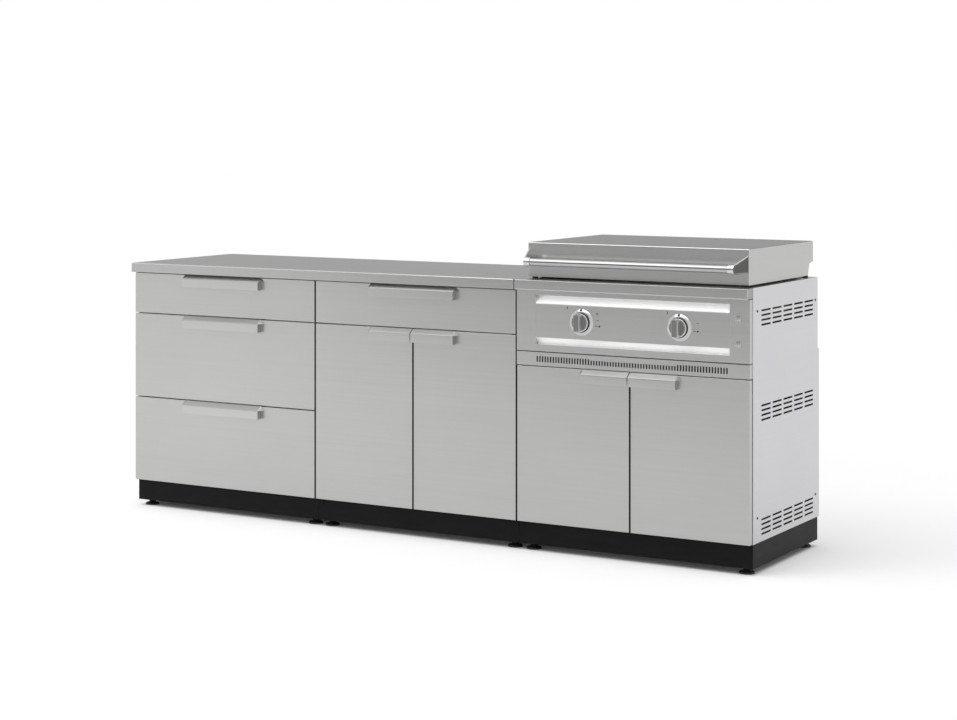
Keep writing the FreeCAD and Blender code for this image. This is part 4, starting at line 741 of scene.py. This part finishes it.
def strip(shape, start, end):
    """A thin bar over the line from start to end in the y, z plane, raised to its left side."""
    run = Vector(end) - Vector(start)
    up = Vector((-run.y, run.x)).normalized()
    corners = [Vector(start) + up * REFLECTION_STRIP[0], Vector(end) + up * REFLECTION_STRIP[0],
               Vector(end) + up * REFLECTION_STRIP[1], Vector(start) + up * REFLECTION_STRIP[1]]
    tube(shape, [[shape.verts.new((x, p.x, p.y)) for p in corners] for x in ends], capped=True)


# Each strip is a painted reflection of the lit floor and sky on a groove's slope or ledge.
for name, (edge_z, far_z) in zip(("lower", "upper"), GROOVE_Z):
    shape = bmesh.new()
    corner = (panel_y + GROOVE_DEPTH - AIR, far_z)
    lip_z = edge_z + (far_z - edge_z) * GROOVE_LIP / GROOVE_DEPTH
    slope = ((panel_y + GROOVE_LIP, lip_z), corner)
    ledge = (corner, (panel_y + GROOVE_LIP, far_z))
    for line in (slope, ledge):
        strip(shape, *(line if name == "upper" else line[::-1]))
    placed("groove_lining_" + name, as_mesh(shape), "island", "panel_stainless", finish="bright_lining")
print("groove reflection strips", round((ends[1] - ends[0]) / MM), "mm long")

# %% Weld lines and button frames
SKIM = 0.01 * MM                 # air under what lies on the panel
LINE_WIDTH, LINE_OUT = 1.4 * MM, 0.12 * MM
LINE_BELOW, LINE_ABOVE = 27 * MM, 2 * MM         # past the grooves' edges
FRAME_WIDTH, FRAME_OUT, FRAME_AIR = 1.7 * MM, 0.8 * MM, 0.15 * MM
for side, x in (("left", left_x + GROOVE_X[0]), ("right", right_x - GROOVE_X[1])):
    bar = block((x - LINE_WIDTH / 2, panel_y - LINE_OUT, GROOVE_Z[0][0] - LINE_BELOW),
                (x + LINE_WIDTH / 2, panel_y - SKIM, GROOVE_Z[1][1] + LINE_ABOVE))
    placed("panel_weld_" + side, eased(bar, 0.1 * MM, 0.04 * MM, segments=1),
           "island", "panel_stainless", finish="fold_stainless")

for level in ("upper", "lower"):
    low, high = (Vector(p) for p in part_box(level + "_igniter_button"))
    shape = bmesh.new()
    loops = []
    for grow, out in ((FRAME_WIDTH, FRAME_OUT), (FRAME_WIDTH, SKIM),
                      (FRAME_AIR, SKIM), (FRAME_AIR, FRAME_OUT)):
        corners = ((low.x - grow, low.z - grow), (high.x + grow, low.z - grow),
                   (high.x + grow, high.z + grow), (low.x - grow, high.z + grow))
        loops.append([shape.verts.new((x, panel_y - out, z)) for x, z in corners])
    tube(shape, loops + loops[:1])
    placed(level + "_button_frame", as_mesh(shape), "island", "panel_stainless", finish="fold_stainless")
print("two weld lines and two button frames")

# %% [markdown]
# Knobs and bezels are turned parts, so each is an outline of (radius, height) points swept round its
# axis. The bezel has a rounded, polished crown. The knob has a polished rim, a brushed face and grip,
# and a skirt behind them. The grip's flanks get a paler finish than its front, as painted light. A
# black disc lies at the bottom of the gap between knob and bezel, as painted shade that darkens it.

# %% Turning
TURNS = 72


def turned(x, z, outline, closed=True):
    """A mesh swept round the axis through (x, z). The outline's points are radius and distance in
    front of the panel, in mm."""
    shape = bmesh.new()
    circle = [(math.cos(math.tau * i / TURNS), math.sin(math.tau * i / TURNS)) for i in range(TURNS)]
    rings = []
    for radius, out in outline:
        y, r = panel_y - out * MM, radius * MM
        if radius == 0:
            rings.append([shape.verts.new((x, y, z))] * TURNS)
        else:
            rings.append([shape.verts.new((x + r * across, y, z + r * up)) for across, up in circle])
    tube(shape, rings + (rings[:1] if closed else []))
    return as_mesh(shape, sharp=35)


BEZEL = ((32, 0.1), (32, 5.0), (32.3, 5.7), (33, 6), (34, 5.9), (36, 5.2), (38.5, 4.0), (41, 2.7),
         (43.2, 1.5), (43.9, 0.9), (44, 0.1))
RIM = ((29.4, 8.6), (30.3, 9.2), (30.5, 10), (30.5, 15.6), (30.2, 16.3), (29.6, 16.8), (28.8, 17), (27.4, 17),
       (27.0, 16.7), (26.8, 16.0), (20, 16.0), (20, 8.6))
FACE = ((0, 16.6), (26.6, 16.6), (26.9, 16.3), (26.9, 15.9), (0, 15.9))
SKIRT = ((29.2, 5), (29.6, 5.4), (29.6, 8.6), (20, 8.6), (20, 5))
# The black disc in the gap between knob and bezel is painted shade.
GAP_SHADE = ((8.5, 0.15), (31.6, 0.15), (31.6, 1.4), (31.0, 1.8), (8.5, 1.8))
BEZEL_R = BEZEL[-1][0] * MM
bezel_low, bezel_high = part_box("knob_bezels")
knob_z = (bezel_low[2] + bezel_high[2]) / 2
KNOB_X = {"left": bezel_low[0] + BEZEL_R, "right": bezel_high[0] - BEZEL_R}
print("knob axes at", {k: round(v, 4) for k, v in KNOB_X.items()}, round(knob_z, 4))

# %% Knobs
GRIP_WIDE, GRIP_LONG, GRIP_OUT = 22.0, 56.0, (16.5, 39.0)        # in mm, the last in front of the panel
GRIP_STEPS = 8
GRIP_EASE = 2.2 * MM
# Painted light: the grip's flanks take a paler finish than its front.
FLANK = 0.5              # a face of the grip that looks aside by more than this is paler
METAL = "polished_stainless"


def spots(shape, x, z, points, out):
    """Vertices at (across, up) points in mm from an axis, so many mm in front of the panel."""
    return [shape.verts.new((x + a * MM, panel_y - out * MM, z + b * MM)) for a, b in points]


def grip(x, z):
    """The bar across a knob: straight sides, ends on the knob's own circle, an eased tip."""
    shape = bmesh.new()
    radius = GRIP_LONG / 2
    swing = math.asin(GRIP_WIDE / 2 / radius)
    turn = [swing * (1 - 2 * i / GRIP_STEPS) for i in range(GRIP_STEPS + 1)]
    top = [(radius * math.sin(t), radius * math.cos(t)) for t in turn]
    around = top + [(-a, -b) for a, b in top]
    tube(shape, [spots(shape, x, z, around, out) for out in GRIP_OUT], capped=True)
    shape.normal_update()
    return eased(shape, GRIP_EASE, GRIP_EASE, sharp=40, segments=4)


# The paler flanks of a grip are painted light, and the black disc behind each knob is painted shade.
for side, x in KNOB_X.items():
    body = side + "_knob_turn"
    placed(side + "_knob_rim", turned(x, knob_z, RIM), body, METAL, side + "_knob")
    placed(side + "_knob_face", turned(x, knob_z, FACE, closed=False), body, METAL, finish="knob_stainless")
    bar = placed(side + "_knob_grip", grip(x, knob_z), body, METAL,
                 finish=("knob_stainless", "knob_side_stainless"))
    for f in bar.data.polygons:
        f.material_index = 1 if abs(f.normal.x) > FLANK else 0
    placed(side + "_knob_skirt", turned(x, knob_z, SKIRT), body, METAL, finish="knob_stainless")
    placed(side + "_knob_seal", turned(x, knob_z, GAP_SHADE), "island", "black_plastic")
    crown = placed(side + "_bezel", turned(x, knob_z, BEZEL), "island", METAL,
                   *(["knob_bezels"] if side == "left" else []), finish="bezel_stainless")
print("knobs, bezels and gap shades,", len(crown.data.polygons), "faces in a bezel")

# %% [markdown]
# Each bezel has a black index dot at its top, and beside each knob the panel is printed with plain
# marks: a tick where the gas is off, a dot and dash where it is high, and a small ring and a dash
# between. The marks are flat plates a tenth of a millimetre thick.

# %% Index dots and dial marks
MARKS = {        # shape, x and z from the knob's axis, width and height, in mm
    "left": (("bar", -52, 46, 2.6, 8.5), ("dot", 65.6, -10, 6.4, 6.4), ("bar", 54, -10, 10, 1.6),
             ("ring", 58, 30, 8, 8), ("bar", 60, 9, 9, 1.4)),
    "right": (("bar", -42, 46, 2.6, 8.5), ("dot", 64.5, -9, 6.4, 6.4), ("bar", 53.5, -9, 9, 1.6),
              ("bar", 64, 17, 8, 1.4)),
}
PRINT = (0.02 * MM, 0.12 * MM)         # back and front of a mark, from the panel
RING_HOLE = 0.62                       # of the ring's width
DOT_OUT, DOT_SIZE = 40.2, (9.0, 7.0)   # in mm: its height over the knob's axis, and its size
DOT_PRINT, CROWN_SLOPE = (1.5 * MM, 3.4 * MM), 0.52      # the dot lies on the outer slope of the crown


def flat_mark(shape, kind, x, z, wide, high, heights=PRINT, lean=0.0):
    """Adds one printed mark as a thin plate, which may lean back towards its top."""
    steps, start, grow = (4, math.pi / 4, math.sqrt(2)) if kind == "bar" else (24, 0, 1)
    turn = [start + math.tau * i / steps for i in range(steps)]
    rings = []
    for part in ((1.0, RING_HOLE) if kind == "ring" else (1.0,)):
        across, up = part * grow * wide / 2 * MM, part * grow * high / 2 * MM
        flat = [(across * math.cos(t), up * math.sin(t)) for t in turn]
        pair = [[shape.verts.new((x + dx, panel_y - out + lean * dz, z + dz)) for dx, dz in flat]
                for out in heights]
        rings += pair[::-1] if rings else pair
    if kind == "ring":
        tube(shape, rings + rings[:1])
    else:
        tube(shape, rings, capped=True)


for side, x in KNOB_X.items():
    shape = bmesh.new()
    for kind, dx, dz, wide, high in MARKS[side]:
        flat_mark(shape, kind, x + dx * MM, knob_z + dz * MM, wide, high)
    placed(side + "_dial_marks", as_mesh(shape), "island", "black_plastic")
    dot = bmesh.new()
    flat_mark(dot, "dot", x, knob_z + DOT_OUT * MM, *DOT_SIZE, DOT_PRINT, CROWN_SLOPE)
    placed(side + "_index_dot", as_mesh(dot), "island", "black_plastic", finish="pad_rubber")
print("dial marks", {k: len(v) for k, v in MARKS.items()})

# %% [markdown]
# Smooth shading over a fold also bends the normals of the broad faces beside it, and they would
# mirror the wrong place. So the lid's large faces are flat and only its folds are smooth. The handle
# is a polished tube between two brackets. Each bracket is a leaning plate with a dish pressed into
# its outer side. The dish is brushed and dull while its rim and the collar on the tube are polished,
# so the dish's floor gets a material of its own.

# %% Lid and handle brackets
FLAT_AREA, DISH_AREA = 500e-6, 250e-6      # square metres; larger faces are flat ones, or dishes
LID_SIDE = 0.7           # a face of the lid that looks aside by more than this is on a side
lid = as_mesh(merged_copy("lid_shell"), sharp=30)
for _ in range(2 - len(lid.materials)):
    lid.materials.append(None)
for f in lid.polygons:
    f.material_index = 1 if abs(f.normal.x) > LID_SIDE else 0
    f.use_smooth = f.area < FLAT_AREA
placed("lid_skin", lid, "lid", "panel_stainless", "lid_shell", finish=("lid_stainless", "lid_side_stainless"))

brackets = softened("lid_handle_brackets", 0.8 * MM, 0.5 * MM, finish=(METAL, METAL, "dish_stainless"))
low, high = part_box("lid_handle_brackets")
middle = (low[0] + high[0]) / 2
for f in brackets.data.polygons:
    if f.area > DISH_AREA and f.normal.x * (f.center.x - middle) > 0:
        f.material_index = 2
print("lid,", len(lid.polygons), "faces, and brackets,", len(brackets.data.polygons))

# %% [markdown]
# The igniter buttons are square with rounded corners, and dip into their holes when they are
# pressed. So the cap on each keeps the hole's rounded corners over its whole depth, and only its
# front edge is eased. It is stacked from rings of one outline that is drawn in a little each time.

# %% Buttons
CAP_HALF, CAP_CORNER = 10.1, 3.05      # half its width and the radius of its corners, in mm
CAP_RINGS = ((-0.6, 0.0), (2.2, 0.0), (2.75, 0.16), (3.1, 0.55), (3.25, 1.1))      # mm out, mm drawn in


def rounded_square(half, corner, steps=6):
    """Points round a square with rounded corners."""
    points = []
    straight = half - corner
    for k, (sx, sz) in enumerate(((1, 1), (-1, 1), (-1, -1), (1, -1))):
        for i in range(steps + 1):
            t = math.radians(90 * (k + i / steps))
            points.append((sx * straight + corner * math.cos(t), sz * straight + corner * math.sin(t)))
    return points


for name in ("upper", "lower"):
    low, high = (Vector(p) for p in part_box(name + "_igniter_button"))
    x, z = (low.x + high.x) / 2, (low.z + high.z) / 2
    shape = bmesh.new()
    tube(shape, [spots(shape, x, z, rounded_square(CAP_HALF - drawn, CAP_CORNER - drawn), out)
                 for out, drawn in CAP_RINGS], capped=True)
    placed(name + "_button_cap", as_mesh(shape, sharp=40), name + "_button", "panel_stainless")
print("two igniter buttons")

# %% [markdown]
# What repeats is made with Geometry Nodes: the screws round each back pan, the plugs in the unused
# joining holes of the outer sides, and the wires of the insect screen behind the vent strip. One
# tree puts copies of a small piece along a line. Its inputs are named, so the same tree serves for
# all of them: how many, where the first is, the step to the next, how they are turned and scaled.
# A head is a ring swept round a circle with a hexagonal floor in it, about sixty faces.

# %% A tree that repeats a small piece along a line
SOCKETS = {int: "NodeSocketInt", tuple: "NodeSocketVector", bpy.types.Material: "NodeSocketMaterial"}


def head(graph):
    """A round fastener head with a socket, one unit in radius, facing +Z."""
    path = graph.add("GeometryNodeCurvePrimitiveCircle", {}, {"Resolution": 10, "Radius": 0.66})
    profile = graph.add("GeometryNodeCurvePrimitiveCircle", {}, {"Resolution": 5, "Radius": 0.34})
    ring = graph.add("GeometryNodeCurveToMesh", {}, {"Curve": path, "Profile Curve": profile})
    low = graph.add("GeometryNodeMeshCylinder", {}, {"Vertices": 6, "Radius": 0.52, "Depth": 0.2})
    return graph.add("GeometryNodeJoinGeometry", {}, {0: [ring, low]})


def wire(graph):
    """A four-sided wire, one unit long and as thick as it is scaled."""
    return graph.add("GeometryNodeMeshCylinder", {"fill_type": "NONE"},
                     {"Vertices": 4, "Radius": 0.5, "Depth": 1.0})


def repeated(piece, **inputs):
    """The plain mesh of one row of copies."""
    tree = bpy.data.node_groups.new("row_of_" + piece.__name__, "GeometryNodeTree")
    for key, value in inputs.items():
        tree.interface.new_socket(key, in_out="INPUT", socket_type=SOCKETS[type(value)])
    tree.interface.new_socket("Geometry", in_out="OUTPUT", socket_type="NodeSocketGeometry")
    graph = Graph(tree)
    entry = tree.nodes.new("NodeGroupInput")
    given = {key: Value(graph, entry.outputs[key]) for key in inputs}
    line = graph.add("GeometryNodeMeshLine", {"mode": "OFFSET"},
                     {"Count": given["Count"], "Start Location": given["First"], "Offset": given["Step"]})
    copies = graph.add("GeometryNodeInstanceOnPoints", {},
                       {"Points": line, "Instance": piece(graph),
                        "Rotation": given["Turn"], "Scale": given["Scale"]})
    solid = graph.add("GeometryNodeRealizeInstances", {}, {0: copies})
    made = graph.add("GeometryNodeSetMaterial", {}, {"Geometry": solid, "Material": given["Finish"]})
    graph.put(tree.nodes.new("NodeGroupOutput").inputs["Geometry"], made)
    settings = {"node_group": tree}
    for item in tree.interface.items_tree:
        if item.in_out == "INPUT":
            settings[item.identifier] = inputs[item.name]
    return baked(bpy.data.meshes.new("empty"), ("NODES", settings))


def united(meshes):
    """One mesh from several."""
    shape = bmesh.new()
    for mesh in meshes:
        shape.from_mesh(mesh)
        bpy.data.meshes.remove(mesh)
    bmesh.ops.recalc_face_normals(shape, faces=shape.faces)
    return as_mesh(shape, sharp=40)


print("one tree for rows of heads and rows of wires")

# %% Screws round the back pans
QUARTER = math.radians(90)
SCREW = 3.6 * MM         # radius of a head
EDGE = 9.0 * MM          # from a pan's edge to a row
UPRIGHT, LEVEL = 6, 4    # screws in an upright row, and between two such rows
CABINET_W = 812.8 * MM
(west, _, floor_z), (east, back_y, _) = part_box("back_panels")
side_top, strip_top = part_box("side_panels")[1][2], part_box("vent_strip")[1][2]
walls = (west, west + CABINET_W, west + 2 * CABINET_W, east)


def heads(count, first, last, turn, size, finish):
    """A row of heads from the first place to the last."""
    step = tuple((b - a) / (count - 1) for a, b in zip(first, last))
    return repeated(head, Count=count, First=first, Step=step, Turn=turn, Scale=(size,) * 3,
                    Finish=FINISHES[finish].material)


lines = []
for x0, x1, top in zip(walls, walls[1:], (side_top, side_top, strip_top)):
    left, right, low, high = x0 + EDGE, x1 - EDGE, floor_z + EDGE, top - EDGE
    gap = (x1 - x0 - 2 * EDGE) / (LEVEL + 1)
    lines += [(UPRIGHT, (x, back_y, low), (x, back_y, high)) for x in (left, right)]
    lines += [(LEVEL, (left + gap, back_y, z), (right - gap, back_y, z)) for z in (low, high)]
rows = [heads(*line, (-QUARTER, 0, 0), SCREW, "zinc_steel") for line in lines]
screws = placed("back_screws", united(rows), "island", "zinc_steel")
print("back screws,", len(screws.data.polygons), "faces")

# %% Plugs in the outer joining holes
PLUG = 4.4 * MM          # radius
JOIN_Y, JOIN_Z = (-220.5 * MM, 278.5 * MM), (176.5 * MM, 829.0 * MM)
sides = ((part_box("side_panels")[0][0], -QUARTER), (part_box("vented_side_panels")[1][0], QUARTER))
rows = [heads(2, (x, y, JOIN_Z[0]), (x, y, JOIN_Z[1]), (0, turn, 0), PLUG, "black_plastic")
        for x, turn in sides for y in JOIN_Y]
plugs = placed("hole_plugs", united(rows), "island", "black_plastic")
print("hole plugs,", len(plugs.data.polygons), "faces")

# %% Insect screen behind the vent strip
WIRE, MESH = 0.9 * MM, 1.6 * MM  # a wire's thickness, and the step from wire to wire
SCREEN_Y = 5.0 * MM              # behind the strip's face
BORDER = Vector((4, 0, 3)) * MM  # left free at the ends, and above and below
low, high = (Vector(p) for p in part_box("vent_strip"))
low, high = low + BORDER, high - BORDER
centre, size = (low + high) / 2, high - low
y = low.y + SCREEN_Y
black = FINISHES["black_steel"].material
upright = repeated(wire, Count=int(size.x / MESH), First=(low.x, y, centre.z), Step=(MESH, 0.0, 0.0),
                   Turn=(0.0, 0.0, 0.0), Scale=(WIRE, WIRE, size.z), Finish=black)
level = repeated(wire, Count=int(size.z / MESH), First=(centre.x, y + WIRE / 2, low.z),
                 Step=(0.0, 0.0, MESH), Turn=(0.0, QUARTER, 0.0), Scale=(WIRE, WIRE, size.x), Finish=black)
screen = placed("vent_screen", united([upright, level]), "island", "black_steel")
print("vent screen,", len(screen.data.polygons), "faces")
